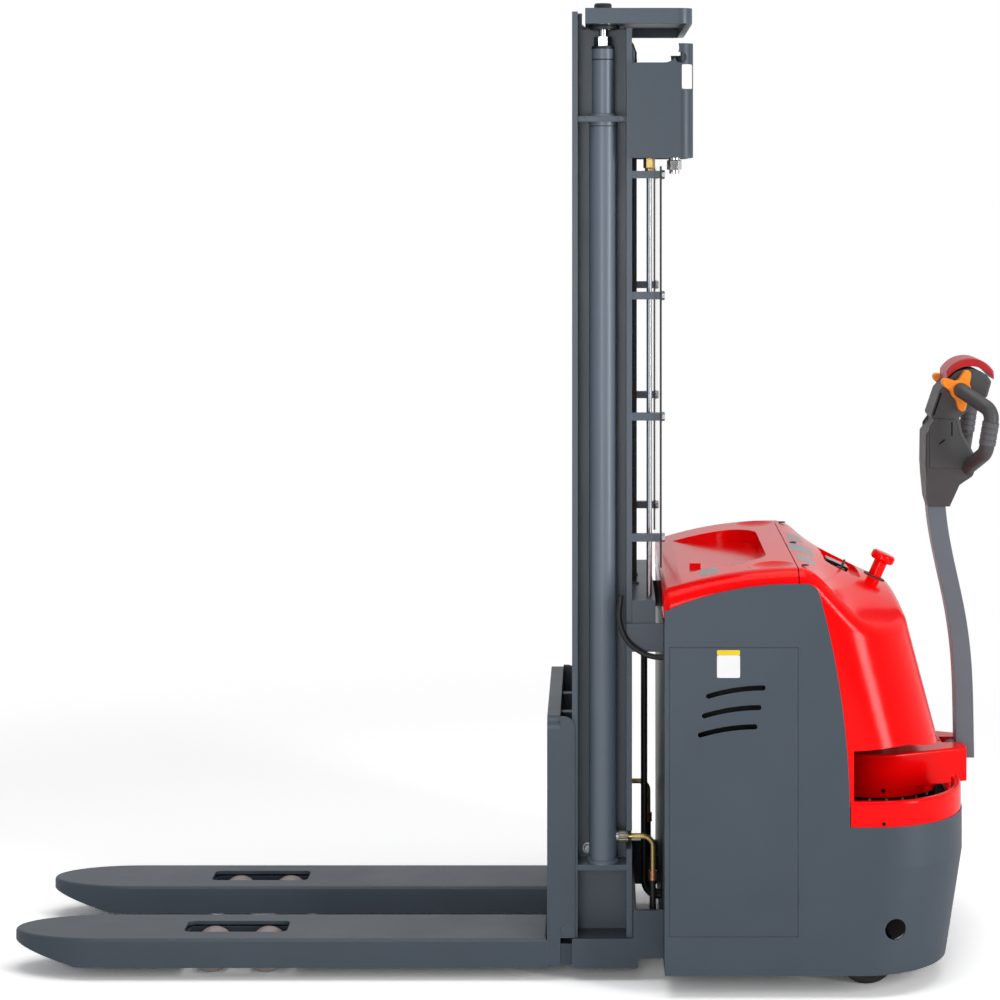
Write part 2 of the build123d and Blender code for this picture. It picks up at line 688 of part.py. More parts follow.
# Lift rods: ram, rod-end nut, stud and the rubber disc under the crosshead
rod_bottom_z = 330
rod_nut_r = 19
rod_show = 1  # bare rod over the gland when the mast is down
rod_nut = 19
rod_nut_z = (gland_top_z + rod_show, gland_top_z + rod_show + rod_nut)
stud_r = 9
disc_r = 28
disc = 11
with BuildPart() as lift_rods:
    for side, s in SIDES:
        rod_z(cylinder_x, s * cylinder_y, (rod_bottom_z, rod_nut_z[0]), rod_r)
        with BuildSketch(Plane.XY.offset(rod_nut_z[0])):
            with Locations((cylinder_x, s * cylinder_y)):
                RegularPolygon(rod_nut_r, 6)
        extrude(amount=rod_nut_z[1] - rod_nut_z[0])
        rod_z(cylinder_x, s * cylinder_y, (rod_nut_z[1], inner_top_z), stud_r)
        rod_z(cylinder_x, s * cylinder_y, (inner_top_z - disc, inner_top_z), disc_r)
keep(lift_rods, "lift_rods")

# Chain sheaves: grooved wheels on the crosshead's pins
chain_play = 0.5
groove_r = sheave_pitch_r - chain_thick / 2 - chain_play
sheave_lip = 2
groove_side_gap = 1
sheave_flange_r = sheave_pitch_r + sheave_lip
groove_half = chain_width / 2 + groove_side_gap
for side, s in SIDES:
    with BuildPart() as sheave:
        sheave_y = (s * (chain_y - sheave_width / 2), s * (chain_y + sheave_width / 2))
        rod_y(sheave_x, sheave_y, sheave_z, sheave_flange_r)
        with BuildSketch(side_plane(s * chain_y)):
            with Locations((sheave_x, sheave_z)):
                Circle(sheave_flange_r)
                Circle(groove_r, mode=Mode.SUBTRACT)
        extrude(amount=groove_half, both=True, mode=Mode.SUBTRACT)
        rod_y(sheave_x, sheave_y, sheave_z, sheave_pin_r + running_gap, Mode.SUBTRACT)
    keep(sheave, f"sheave_{side}")

# Leaf chains: rear strands from the lower tie, the wrap over each sheave, front strands
with BuildPart() as chain_rear:
    for side, s in SIDES:
        strand_x = (rear_strand_x - chain_thick / 2, rear_strand_x + chain_thick / 2)
        strand_y = (s * (chain_y - chain_width / 2), s * (chain_y + chain_width / 2))
        block(strand_x, strand_y, (anchor_top_z, sheave_z))
keep(chain_rear, "chain_rear")

with BuildPart() as chain_front:
    for side, s in SIDES:
        strand_x = (front_strand_x - chain_thick / 2, front_strand_x + chain_thick / 2)
        strand_y = (s * (chain_y - chain_width / 2), s * (chain_y + chain_width / 2))
        block(strand_x, strand_y, (front_anchor_z, sheave_z))
keep(chain_front, "chain_front")

with BuildPart() as chain_wraps:
    for side, s in SIDES:
        with BuildSketch(side_plane(s * chain_y)):
            with Locations((sheave_x, sheave_z)):
                Circle(sheave_pitch_r + chain_thick / 2)
                Circle(sheave_pitch_r - chain_thick / 2, mode=Mode.SUBTRACT)
            with Locations((sheave_x, sheave_z - sheave_pitch_r)):
                Rectangle(4 * sheave_pitch_r, 2 * sheave_pitch_r, mode=Mode.SUBTRACT)
        extrude(amount=chain_width / 2, both=True)
keep(chain_wraps, "chain_wraps")

# Base frame: mast foot, side members, battery floor and the drive deck with castor wings
foot_wall = 10
floor_z = 150
floor_plate = 10
member_plate = 12
deck_from_rear = 335
deck_x = shell_rear_x - deck_from_rear
deck_z = 318
deck_plate = 12
deck_inset = 2
wing_z = 180
wing_side = 75  # castor axis to the web beside it
wing_edge = 55
wing_in_y = castor_y - wing_side
wing_half = shell_half - wing_edge
wing_past_castor = 90
wing_rear_x = castor_x + wing_past_castor
slew_neck_r = 90
slew_play = 8
castor_stem_r = 14
with BuildPart() as base_frame:
    foot_y = (-fork_out_y, fork_out_y)
    block((mast_front_x, foot_back_x), foot_y, (fork_bottom_z, foot_top_z))
    foot_inside_x = (mast_front_x + foot_wall, foot_back_x - foot_wall)
    foot_inside_y = (-fork_out_y + foot_wall, fork_out_y - foot_wall)
    block(foot_inside_x, foot_inside_y, (fork_bottom_z, foot_top_z - foot_wall), Mode.SUBTRACT)
    for side, s in SIDES:
        member_y = (s * (fork_out_y - member_plate), s * fork_out_y)
        block((foot_back_x - foot_wall, deck_x), member_y, (shell_bottom_z, floor_z))
    floor_half = shell_half - shell_wall
    block((shell_front_x + shell_wall, deck_x), (-floor_half, floor_half), (floor_z, floor_z + floor_plate))
    block((deck_x - deck_plate, deck_x), (-wing_half, wing_half), (floor_z, deck_z + deck_plate))
    with BuildSketch(Plane.XY.offset(deck_z)) as deck_plan:
        deck_rear_x = shell_rear_x - shell_wall - deck_inset
        with Locations(((deck_x + deck_rear_x) / 2, 0)):
            Rectangle(deck_rear_x - deck_x, 2 * (floor_half - deck_inset))
        fillet(deck_plan.vertices().group_by(Axis.X)[-1], shell_corner - shell_wall - deck_inset)
        with Locations((steer_x, 0)):
            Circle(slew_neck_r + slew_play, mode=Mode.SUBTRACT)
    extrude(amount=deck_plate)
    for side, s in SIDES:
        web_y = (s * (wing_in_y - deck_plate), s * wing_in_y)
        block((deck_x, wing_rear_x), web_y, (wing_z, deck_z))
        block((deck_x, wing_rear_x), (s * wing_in_y, s * wing_half), (wing_z, wing_z + deck_plate))
        stem_z = (wing_z, wing_z + deck_plate)
        rod_z(castor_x, s * castor_y, stem_z, castor_stem_r + running_gap, Mode.SUBTRACT)
keep(base_frame, "base_frame")

# Body shell: the outline in plan has round rear corners, and the tail draws in near the floor
crest_x = seam_x - 9  # where the top edge of the side stops rising
crest_share = 0.456  # where along its length the rising edge is fixed
crest_rise_x = shell_front_x + crest_share * (crest_x - shell_front_x)
crest_rise_z = 848
shoulder_x = seam_x + 36
shoulder_r = 28
notch_from_rear = 261
notch_hollow = 22  # how far the notch's curve runs ahead of its foot
notch_curve_z = 652
tail_notch_x = shell_rear_x - notch_from_rear
notch_curve = (tail_notch_x - notch_hollow, notch_curve_z)
front_wall_top_z = cover_front_z - 36
panel_x = (shell_front_x + 10, seam_x - 4)
panel_z = (130, 731)
panel_gap = 1.2
panel_lip = 10
panel_sheet = 3
access_hole_r = 22.5
access_hole_x = shell_rear_x - 165
access_hole_z = 142
access_reach = 35  # depth of the cut, past the rounded wall
hinge_round = 16  # round of the lid's front edge, about its hinge
hinge_drop = 12
hinge_x = shell_front_x - seam_gap + hinge_round
hinge_z = cover_top_front_z - hinge_drop
hinge_pin_r = 5
hinge_ear_r = 8.5
hinge_ear_y = (318, 328)
ear_length = 40
ear_neck = 3  # front of the ear's neck ahead of the hinge, clear of the lid's turning edge


def tail_plan(z, front_x, rear_x, half, corner):
    """A flat outline at height z, with its two rear corners rounded."""
    with BuildSketch(Plane.XY.offset(z)) as plan:
        with Locations(((front_x + rear_x) / 2, 0)):
            Rectangle(rear_x - front_x, 2 * half)
        fillet(plan.vertices().group_by(Axis.X)[-1], corner)
    return plan.sketch


def tail_body(inset, front_x, bottom_z, top_z):
    """The shell's outer form, or its inside when inset by the wall, in the open part."""
    half = shell_half - inset
    corner = shell_corner - inset
    rear_x = shell_rear_x - inset
    foot = tail_plan(bottom_z, front_x, rear_x - tail_lean, half, corner)
    waist = tail_plan(tail_lean_z, front_x, rear_x, half, corner)
    loft(sections=[foot.face(), waist.face()], ruled=True)
    extrude(to_extrude=waist.face(), amount=top_z - tail_lean_z)


with BuildPart() as shell_inside:
    tail_body(shell_wall, shell_front_x + shell_wall, shell_bottom_z, cover_top_z)

with BuildPart() as body_shell:
    tail_body(0, shell_front_x, shell_bottom_z, cover_top_z)
    with BuildSketch(side_plane()) as side_profile:
        with BuildLine():
            Line((shell_front_x, shell_bottom_z), (shell_front_x, cover_front_z))
            front_edge = (shell_front_x, cover_front_z)
            ThreePointArc(front_edge, (crest_rise_x, crest_rise_z), (crest_x, cover_seam_z))
            Line((crest_x, cover_seam_z), (shoulder_x, cover_seam_z))
            notch_foot = (tail_notch_x, shell_rear_top_z)
            ThreePointArc((shoulder_x, cover_seam_z), notch_curve, notch_foot)
            Line(notch_foot, (shell_rear_x, shell_rear_top_z))
            Line((shell_rear_x, shell_rear_top_z), (shell_rear_x, shell_bottom_z))
            Line((shell_rear_x, shell_bottom_z), (shell_front_x, shell_bottom_z))
        make_face()
        fillet(side_profile.vertices().group_by(Axis.Y)[-1].sort_by(Axis.X)[-1], shoulder_r)
    extrude(amount=shell_half, both=True, mode=Mode.INTERSECT)
    add(shell_inside.part, mode=Mode.SUBTRACT)
    front_wall_x = (shell_front_x, shell_front_x + shell_wall)
    inner_half = shell_half - shell_wall
    block(front_wall_x, (-inner_half, inner_half), (front_wall_top_z, cover_top_z), Mode.SUBTRACT)
    for side, s in SIDES:
        wall_y = (s * inner_half, s * shell_half)
        skin_y = (s * (shell_half - panel_sheet), s * shell_half)
        skin_x = (panel_x[0] - panel_gap, panel_x[1] + panel_gap)
        skin_z = (panel_z[0] - panel_gap, panel_z[1] + panel_gap)
        block(skin_x, skin_y, skin_z, Mode.SUBTRACT)
        lip_x = (panel_x[0] + panel_lip, panel_x[1] - panel_lip)
        lip_z = (panel_z[0] + panel_lip, panel_z[1] - panel_lip)
        block(lip_x, wall_y, lip_z, Mode.SUBTRACT)
        access_y = (s * (shell_half - access_reach), s * shell_half)
        rod_y(access_hole_x, access_y, access_hole_z, access_hole_r, Mode.SUBTRACT)
        rod_x(front_wall_x, s * cylinder_y, hose_entry_z, hose_r + hose_hole_gap, Mode.SUBTRACT)
        member_slot_y = (s * (fork_out_y - member_plate), s * fork_out_y)
        block(front_wall_x, member_slot_y, (shell_bottom_z, floor_z), Mode.SUBTRACT)
    for y in main_hose_y:
        rod_x(front_wall_x, y, hose_entry_z, hose_r + hose_hole_gap, Mode.SUBTRACT)
    cable_end = cable_points[-1]
    rod_x(front_wall_x, cable_end[1], cable_end[2], cable_r + hose_hole_gap, Mode.SUBTRACT)
    for side, s in SIDES:
        with BuildSketch(side_plane(s * hinge_ear_y[0])):
            ear_foot = (shell_front_x + shell_wall, front_wall_top_z)
            ear_low = (shell_front_x + shell_wall, front_wall_top_z - ear_length)
            ear_back = (hinge_x + hinge_ear_r, hinge_z)
            ear_front = (hinge_x - hinge_ear_r, hinge_z)
            Polygon(ear_low, ear_back, ear_front, ear_foot, align=None)
            with Locations((hinge_x - ear_neck, hinge_z - hinge_round - ear_neck)):
                Rectangle(ear_length, ear_length, align=(Align.MAX, Align.MIN), mode=Mode.SUBTRACT)
            with Locations((hinge_x, hinge_z)):
                Circle(hinge_ear_r)
                Circle(hinge_pin_r + running_gap, mode=Mode.SUBTRACT)
        extrude(amount=-s * (hinge_ear_y[1] - hinge_ear_y[0]))
keep(body_shell, "body_shell")

# Side panels: inset sheets with three curved slots, seated on the shell's lips
louvre_width = 11
louvre_rise = 19
louvre_length = 124
louvre_bow = 5
louvre_round = 5
louvre_mids = ((4.5, 638.5), (-4, 597.5), (-12.5, 557.5))  # from the panel's middle, height
with BuildPart() as side_panels:
    for side, s in SIDES:
        panel_y = (s * (shell_half - panel_sheet), s * shell_half)
        block(panel_x, panel_y, panel_z)
        for offset_x, z in louvre_mids:
            mid_x = (panel_x[0] + panel_x[1]) / 2 + offset_x
            start = (mid_x - louvre_length / 2, z - louvre_rise / 2)
            end = (mid_x + louvre_length / 2, z + louvre_rise / 2)
            curve = (start, (mid_x, z + louvre_bow), end)
            upper = [(x, y + louvre_width / 2) for x, y in curve]
            lower = [(x, y - louvre_width / 2) for x, y in curve]
            with BuildSketch(side_plane(s * shell_half)) as louvre:
                with BuildLine():
                    ThreePointArc(*upper)
                    Line(upper[-1], lower[-1])
                    ThreePointArc(*lower)
                    Line(lower[0], upper[0])
                make_face()
                fillet(louvre.vertices(), louvre_round)
            extrude(amount=panel_sheet, both=True, mode=Mode.SUBTRACT)
keep(side_panels, "side_panels")

# Battery cover: crowned lid with a tray, two thumb dimples and a hinge at its front edge
cover_front_x = shell_front_x - seam_gap
cover_rear_x = seam_x - seam_gap / 2
cover_side_gap = 0.5
cover_half = shell_half - shell_wall - cover_side_gap
cover_wall = 5
cover_shoulder = 40
skirt_lap = 16  # how far the covers reach down inside the shell
crown_x = (cover_front_x + cover_rear_x) / 2
crown_z = 881
tray_front_x = shell_front_x + 34
tray_to_seam = 54
tray_back_x = seam_x - tray_to_seam
tray_half = 250
tray_corner = 90
tray_floor_z = 858
dimple_r = 35
dimple_depth = 4
dimple_x = seam_x - 57
dimple_y = 312
dimple_z = 887
dimple_pad_r = 45
ear_play = 4
hinge_lug = 14
catch_x = (shell_front_x + 62, shell_front_x + 86)
catch_y = (-140, -106)
catch_height = 9


def cover_form(inset, bottom_drop):
    """The lid's side view, or that of its inside when inset by the wall."""
    front_x = cover_front_x + inset
    rear_x = cover_rear_x - inset
    front_top = (front_x, cover_top_front_z - inset)
    rear_top = (rear_x, cover_top_z - inset)
    rear_foot = (rear_x, cover_seam_z - bottom_drop)
    mid_foot = (crest_rise_x, crest_rise_z - bottom_drop)
    front_foot = (front_x, cover_front_z - bottom_drop)
    with BuildSketch(side_plane()) as lid_profile:
        with BuildLine():
            ThreePointArc(front_top, (crown_x, crown_z - inset), rear_top)
            Line(rear_top, rear_foot)
            ThreePointArc(rear_foot, mid_foot, front_foot)
            Line(front_foot, front_top)
        make_face()
    return lid_profile.sketch.face()


def tray_plan(z, margin):
    """The tray's outline at height z, grown by a margin."""
    front_x = tray_front_x - margin
    rear_x = tray_back_x + margin
    return tail_plan(z, front_x, rear_x, tray_half + margin, tray_corner + margin).face()


with BuildPart() as cover_inside:
    inside_drop = skirt_lap + cover_shoulder
    extrude(to_extrude=cover_form(cover_wall, inside_drop), amount=cover_half - cover_wall, both=True)
    crown_edges = cover_inside.faces().sort_by(Axis.Z)[-1].edges().filter_by(Axis.Y, reverse=True)
    fillet(crown_edges, cover_shoulder - cover_wall)
    front_edges = cover_inside.faces().sort_by(Axis.X)[0].edges().sort_by(Axis.Z)[1:]
    fillet(front_edges, hinge_round - cover_wall)
    tray_outside = tray_plan(tray_floor_z - cover_wall, cover_wall)
    tray_depth = cover_top_z - tray_floor_z
    extrude(to_extrude=tray_outside, amount=tray_depth + cover_wall, mode=Mode.SUBTRACT)

with BuildPart() as battery_cover:
    extrude(to_extrude=cover_form(0, skirt_lap), amount=cover_half, both=True)
    crown_edges = battery_cover.faces().sort_by(Axis.Z)[-1].edges().filter_by(Axis.Y, reverse=True)
    fillet(crown_edges, cover_shoulder)
    front_edges = battery_cover.faces().sort_by(Axis.X)[0].edges().sort_by(Axis.Z)[1:]
    fillet(front_edges, hinge_round)
    add(cover_inside.part, mode=Mode.SUBTRACT)
    extrude(to_extrude=tray_plan(tray_floor_z, 0), amount=tray_depth, mode=Mode.SUBTRACT)
    dimple_ball_r = (dimple_r**2 + dimple_depth**2) / (2 * dimple_depth)
    for side, s in SIDES:
        pad_z = (dimple_z - dimple_depth - cover_wall, dimple_z)
        rod_z(dimple_x, s * dimple_y, pad_z, dimple_pad_r)
        with Locations((dimple_x, s * dimple_y, dimple_z - dimple_depth + dimple_ball_r)):
            Sphere(dimple_ball_r, mode=Mode.SUBTRACT)
        slot_y = (s * (hinge_ear_y[0] - ear_play), s * (hinge_ear_y[1] + ear_play))
        slot_x_limits = (cover_front_x, hinge_x - hinge_ear_r)
        block(slot_x_limits, slot_y, (cover_front_z - skirt_lap, hinge_z), Mode.SUBTRACT)
        lug_y = (s * (hinge_ear_y[0] - ear_play - hinge_lug), s * (hinge_ear_y[0] - ear_play))
        lug_z = (hinge_z - hinge_pin_r, cover_top_front_z)
        block((hinge_x - hinge_pin_r, hinge_x + hinge_pin_r), lug_y, lug_z)
        pin_y = (s * (hinge_ear_y[0] - ear_play - hinge_lug), s * hinge_ear_y[1])
        rod_y(hinge_x, pin_y, hinge_z, hinge_pin_r)
    block(catch_x, catch_y, (tray_floor_z - cover_wall / 2, tray_floor_z + catch_height))
keep(battery_cover, "battery_cover")

# Drive hood: leaning shell with a sloped dash, joined by side strips to the collar below it
hood_front_x = seam_x + seam_gap / 2
hood_wall = 5
hood_corner = 205
hood_rear_z = 497
hood_side_z = 514
hood_rear_low_x = shell_rear_x - 51
hood_lean = 0.262  # run per unit of rise
dash_start_x = seam_x + 31
dash_run = 210
dash_drop = 95
dash_stations = (  # behind the seam, drop of the ridge, further fall at the sides
    (-120, 0, 0.5), (-60, 0, 0.5), (-9, 0, 0.5), (16, 0.5, 2), (41, 6, 12), (66, 16.5, 30),
    (91, 27.5, 50), (121, 41, 72), (181, 68, 95), (251, 100, 105), (351, 145, 110),
)
hood_spare = 40  # rough form beyond the edges it is cut to
hood_trim = 60  # cutters below the rear edge
hood_ahead = 90  # rough form ahead of the seam
hood_edge = (shell_rear_x - 135, 519)  # highest point of the lower edge
hood_shoulder = 40
dash_tilt = atan2(dash_drop, dash_run)
strip_back_x = tail_notch_x + 9
strip_front_x = tail_notch_x - 8
strip_lap = 4
collar_front_x = tail_notch_x + seam_gap
collar_inset = 2
collar_top_z = 410
collar_rim = 16
collar_round = 6
collar_clear = 6
collar_open = 14  # past the lug's sweep, so that the lowered arm passes at full lock
collar_clear_r = hypot(lug_reach, lug_half) + collar_open


def slice_above(behind, drop, fall):
    """All that lies above the dash at one place along it."""
    ridge_z = cover_top_z - drop
    edge_z = ridge_z - fall
    sky_z = cover_top_z + 2 * hood_spare
    place = Plane(origin=(seam_x + behind, 0, 0), x_dir=(0, 1, 0), z_dir=(1, 0, 0))
    with BuildSketch(place) as above:
        with BuildLine():
            left = (-shell_half, edge_z)
            right = (shell_half, edge_z)
            ThreePointArc(left, (0, ridge_z), right)
            Polyline(right, (shell_half, sky_z), (-shell_half, sky_z), left)
        make_face()
    return above.sketch.face()


with BuildPart() as above_dash:
    loft(sections=[slice_above(*station) for station in dash_stations])


def hood_form(inset):
    """The hood's outer form, or its inside when inset by the wall, in the open part."""
    levels = (hood_rear_z - hood_spare, cover_top_z + hood_spare)
    ahead_x = hood_front_x - hood_ahead
    half = cover_half - inset
    outlines = []
    for z in levels:
        rear_x = hood_rear_low_x - hood_lean * (z - hood_rear_z) - inset
        outlines.append(tail_plan(z, ahead_x, rear_x, half, hood_corner - inset).face())
    loft(sections=outlines, ruled=True)
    block((ahead_x, hood_front_x + inset), (-half, half), levels, Mode.SUBTRACT)
    add(above_dash.part.moved(Location((0, 0, -inset))), mode=Mode.SUBTRACT)


def crown_edges_of(part):
    """The edge that runs round the hood's top, without the one at the seam."""
    top_faces = part.faces().filter_by(lambda f: f.normal_at().Z > 0.5)
    seam_end_x = hood_front_x + 2 * hood_wall
    return top_faces.edges().filter_by(lambda e: e.bounding_box().max.X > seam_end_x)


with BuildPart() as hood_inside:
    hood_form(hood_wall)
    fillet(crown_edges_of(hood_inside.part), hood_shoulder - hood_wall)

with BuildPart() as collar:
    for inset, front_x, mode in (
        (collar_inset, collar_front_x, Mode.ADD),
        (collar_inset + collar_rim, collar_front_x - collar_rim, Mode.SUBTRACT),
    ):
        half = shell_half - inset
        plan = tail_plan(shell_rear_top_z, front_x, shell_rear_x - inset, half, shell_corner - inset)
        extrude(to_extrude=plan.face(), amount=collar_top_z - shell_rear_top_z, mode=mode)
    fillet(collar.faces().sort_by(Axis.Z)[-1].edges(), collar_round)
    swept_z = (head_top_z - lug_depth - collar_clear, head_top_z)
    rod_z(steer_x, 0, swept_z, collar_clear_r, Mode.SUBTRACT)

# The dash lies in its own plane: local x runs down the slope, local y is +Y
dash_normal = (sin(dash_tilt), 0, cos(dash_tilt))


def dash_plane(x):
    """The dash's plane with its origin above a given X on the slope."""
    z = cover_top_z - (x - dash_start_x) * dash_drop / dash_run
    return Plane(origin=(x, 0, z), x_dir=(cos(dash_tilt), 0, -sin(dash_tilt)), z_dir=dash_normal)


recess_x = seam_x + 121
recess_length = 88
recess_width = 220
recess_corner = 30
recess_depth = 14
key_y = -72
key_barrel_r = 12
gauge_y = 20
gauge_size = 54
gauge_corner = 8
gauge_depth = 8
gauge_bevel = 1.5
stop_x = seam_x + 200
stop_stem_r = 15
with BuildPart() as drive_hood:
    hood_form(0)
    fillet(crown_edges_of(drive_hood.part), hood_shoulder)
    add(hood_inside.part, mode=Mode.SUBTRACT)
    with BuildSketch(dash_plane(recess_x)):
        RectangleRounded(recess_length + 2 * hood_wall, recess_width + 2 * hood_wall, recess_corner)
    extrude(amount=-(recess_depth + hood_wall))
    add(above_dash.part, mode=Mode.SUBTRACT)
    with BuildSketch(dash_plane(recess_x)):
        RectangleRounded(recess_length, recess_width, recess_corner - hood_wall)
    extrude(amount=-recess_depth, mode=Mode.SUBTRACT)
    with BuildSketch(dash_plane(recess_x)):
        with Locations((0, key_y)):
            Circle(key_barrel_r + running_gap)
    extrude(amount=-2 * (recess_depth + hood_wall), mode=Mode.SUBTRACT)
    with BuildSketch(dash_plane(stop_x)):
        Circle(stop_stem_r + running_gap)
    extrude(amount=3 * hood_wall, both=True, mode=Mode.SUBTRACT)
    with BuildSketch(side_plane()):
        with BuildLine():
            lap_z = cover_seam_z - skirt_lap
            notch_top = (shoulder_x - skirt_lap, lap_z)
            notch_foot = (strip_front_x, hood_rear_z - hood_trim)
            notch_mid = (notch_curve[0] - skirt_lap / 2, notch_curve[1])
            ThreePointArc(notch_top, notch_mid, notch_foot)
            front_x = hood_front_x - hood_ahead
            Polyline(notch_foot, (front_x, notch_foot[1]), (front_x, lap_z), notch_top)
        make_face()
    extrude(amount=shell_half, both=True, mode=Mode.SUBTRACT)
    with BuildSketch(side_plane()):
        below = hood_rear_z - hood_trim
        Polygon(
            (strip_front_x - hood_spare, hood_side_z),
            (strip_back_x, hood_side_z),
            hood_edge,
            (hood_rear_low_x, hood_rear_z),
            (shell_rear_x, hood_rear_z),
            (shell_rear_x, below),
            (strip_front_x - hood_spare, below),
            align=None,
        )
    extrude(amount=shell_half, both=True, mode=Mode.SUBTRACT)
    add(collar.part)
    for side, s in SIDES:
        strip_y = (s * (cover_half - hood_wall), s * cover_half)
        strip_z = (collar_top_z - 2 * collar_round, hood_side_z + strip_lap)
        block((strip_front_x, strip_back_x), strip_y, strip_z)
keep(drive_hood, "drive_hood")

# Dash fittings: battery gauge, key switch and the mushroom emergency stop
with BuildPart() as gauge:
    with BuildSketch(dash_plane(recess_x).offset(-recess_depth)):
        with Locations((0, gauge_y)):
            RectangleRounded(gauge_size, gauge_size, gauge_corner)
    extrude(amount=gauge_depth)
    gauge_face = gauge.faces().sort_by(Axis((0, 0, 0), dash_normal))[-1]
    chamfer(gauge_face.edges(), gauge_bevel)
keep(gauge, "gauge")

key_bow_r = 11
key_blade = 3
key_neck = 9
key_neck_r = 9
key_bow_sink = 2
key_hole_r = 3
key_hole_up = 4
with BuildPart() as key:
    key_floor = dash_plane(recess_x).offset(-recess_depth)
    with BuildSketch(key_floor):
        with Locations((0, key_y)):
            Circle(key_barrel_r)
    extrude(amount=-hood_wall)
    with BuildSketch(key_floor):
        with Locations((0, key_y)):
            Circle(key_neck_r)
    extrude(amount=key_neck)
    bow_plane = Plane(
        origin=key_floor.from_local_coords((0, key_y, key_neck + key_bow_r - key_bow_sink)),
        x_dir=key_floor.z_dir,
        z_dir=key_floor.x_dir,
    )
    with BuildSketch(bow_plane):
        Circle(key_bow_r)
        with Locations((key_hole_up, 0)):
            Circle(key_hole_r, mode=Mode.SUBTRACT)
    extrude(amount=key_blade / 2, both=True)
keep(key, "key")

stop_head_r = 27
stop_head = 20
stop_stem = 38
stop_round = 7
stop_tail = 16
with BuildPart() as emergency_stop:
    with BuildSketch(dash_plane(stop_x)):
        Circle(stop_stem_r)
    extrude(amount=stop_stem)
    with BuildSketch(dash_plane(stop_x)):
        Circle(stop_stem_r)
    extrude(amount=-stop_tail)
    with BuildSketch(dash_plane(stop_x).offset(stop_stem)):
        Circle(stop_head_r)
    extrude(amount=stop_head)
    rims = emergency_stop.edges().filter_by(GeomType.CIRCLE)
    fillet(rims.filter_by(lambda e: abs(e.radius - stop_head_r) < 0.1), stop_round)
keep(emergency_stop, "emergency_stop")

# Under the covers: battery in its tray, pump unit and motor controller on the floor plate
floor_top_z = floor_z + floor_plate
unit_gap = 10
unit_length = 76
unit_back_x = deck_x - deck_plate - seam_gap
unit_x = (unit_back_x - unit_length, unit_back_x)
battery_front_gap = 17
battery_x = (shell_front_x + battery_front_gap, unit_x[0] - unit_gap)
battery_half = 310
battery_top_z = 690
cell_rows = 2
cell_columns = 6
cell_gap = 6
cell_corner = 5
cell_height = 22
post_r = 9
post = 14
with BuildPart() as battery_pack:
    block(battery_x, (-battery_half, battery_half), (floor_top_z, battery_top_z))
    cell_x = (battery_x[1] - battery_x[0]) / cell_rows
    cell_y = 2 * battery_half / cell_columns
    with BuildSketch(Plane.XY.offset(battery_top_z)):
        with Locations(((battery_x[0] + battery_x[1]) / 2, 0)):
            with GridLocations(cell_x, cell_y, cell_rows, cell_columns):
                RectangleRounded(cell_x - cell_gap, cell_y - cell_gap, cell_corner)
    extrude(amount=cell_height)
    with BuildSketch(Plane.XY.offset(battery_top_z + cell_height)):
        with Locations(((battery_x[0] + battery_x[1]) / 2, 0)):
            with GridLocations(cell_x, cell_y, cell_rows, cell_columns):
                Circle(post_r)
    extrude(amount=post)
keep(battery_pack, "battery_pack")

pump_motor_r = 36
pump_motor_y = (60, 200)
pump_foot_half = 25
pump_foot = 30
tank_y = (200, 330)
tank_height = 250
filler_r = 22
filler = 25
with BuildPart() as pump_unit:
    tank_top_z = floor_top_z + tank_height
    block(unit_x, tank_y, (floor_top_z, tank_top_z))
    motor_x = (unit_x[0] + unit_x[1]) / 2
    motor_z = floor_top_z + pump_foot + pump_motor_r
    rod_y(motor_x, pump_motor_y, motor_z, pump_motor_r)
    block((motor_x - pump_foot_half, motor_x + pump_foot_half), pump_motor_y, (floor_top_z, motor_z))
    rod_z(motor_x, (tank_y[0] + tank_y[1]) / 2, (tank_top_z, tank_top_z + filler), filler_r)
keep(pump_unit, "pump_unit")

fin = 4
fin_pitch = 12
fin_count = 18
fin_depth = 22
fin_end = 20
controller_y = (-330, -110)
controller_height = 240
with BuildPart() as controller:
    box_x = (unit_x[0], unit_x[1] - fin_depth)
    block(box_x, controller_y, (floor_top_z, floor_top_z + controller_height))
    first_fin = (controller_y[0] + controller_y[1]) / 2 - (fin_count - 1) * fin_pitch / 2
    fin_z = (floor_top_z + fin_end, floor_top_z + controller_height - fin_end)
    for i in range(fin_count):
        fin_y = (first_fin + i * fin_pitch - fin / 2, first_fin + i * fin_pitch + fin / 2)
        block((box_x[1], unit_x[1]), fin_y, fin_z)
keep(controller, "controller")

# Drive unit: slewing flange on the deck, gearbox beside the wheel, axle and upright motor
flange_r = 120
neck_bottom_z = 242
gearbox_y = (46, 100)
gearbox_half = 46
gearbox_bottom_z = 62
drive_axle_r = 20
motor_r = 70
motor_top_z = 640
with BuildPart() as drive_unit:
    rod_z(steer_x, 0, (deck_z + deck_plate + seat_gap, head_bottom_z), flange_r)
    rod_z(steer_x, 0, (neck_bottom_z, head_bottom_z), slew_neck_r)
    rod_z(steer_x, 0, (head_bottom_z, motor_top_z), motor_r)
    gearbox_x = (steer_x - gearbox_half, steer_x + gearbox_half)
    block(gearbox_x, gearbox_y, (drive_wheel_d / 2, neck_bottom_z + gearbox_half))
    rod_y(steer_x, gearbox_y, drive_wheel_d / 2, drive_wheel_d / 2 - gearbox_bottom_z)
    rod_y(steer_x, (-drive_wheel_width / 2, gearbox_y[0]), drive_wheel_d / 2, drive_axle_r)
keep(drive_unit, "drive_unit")

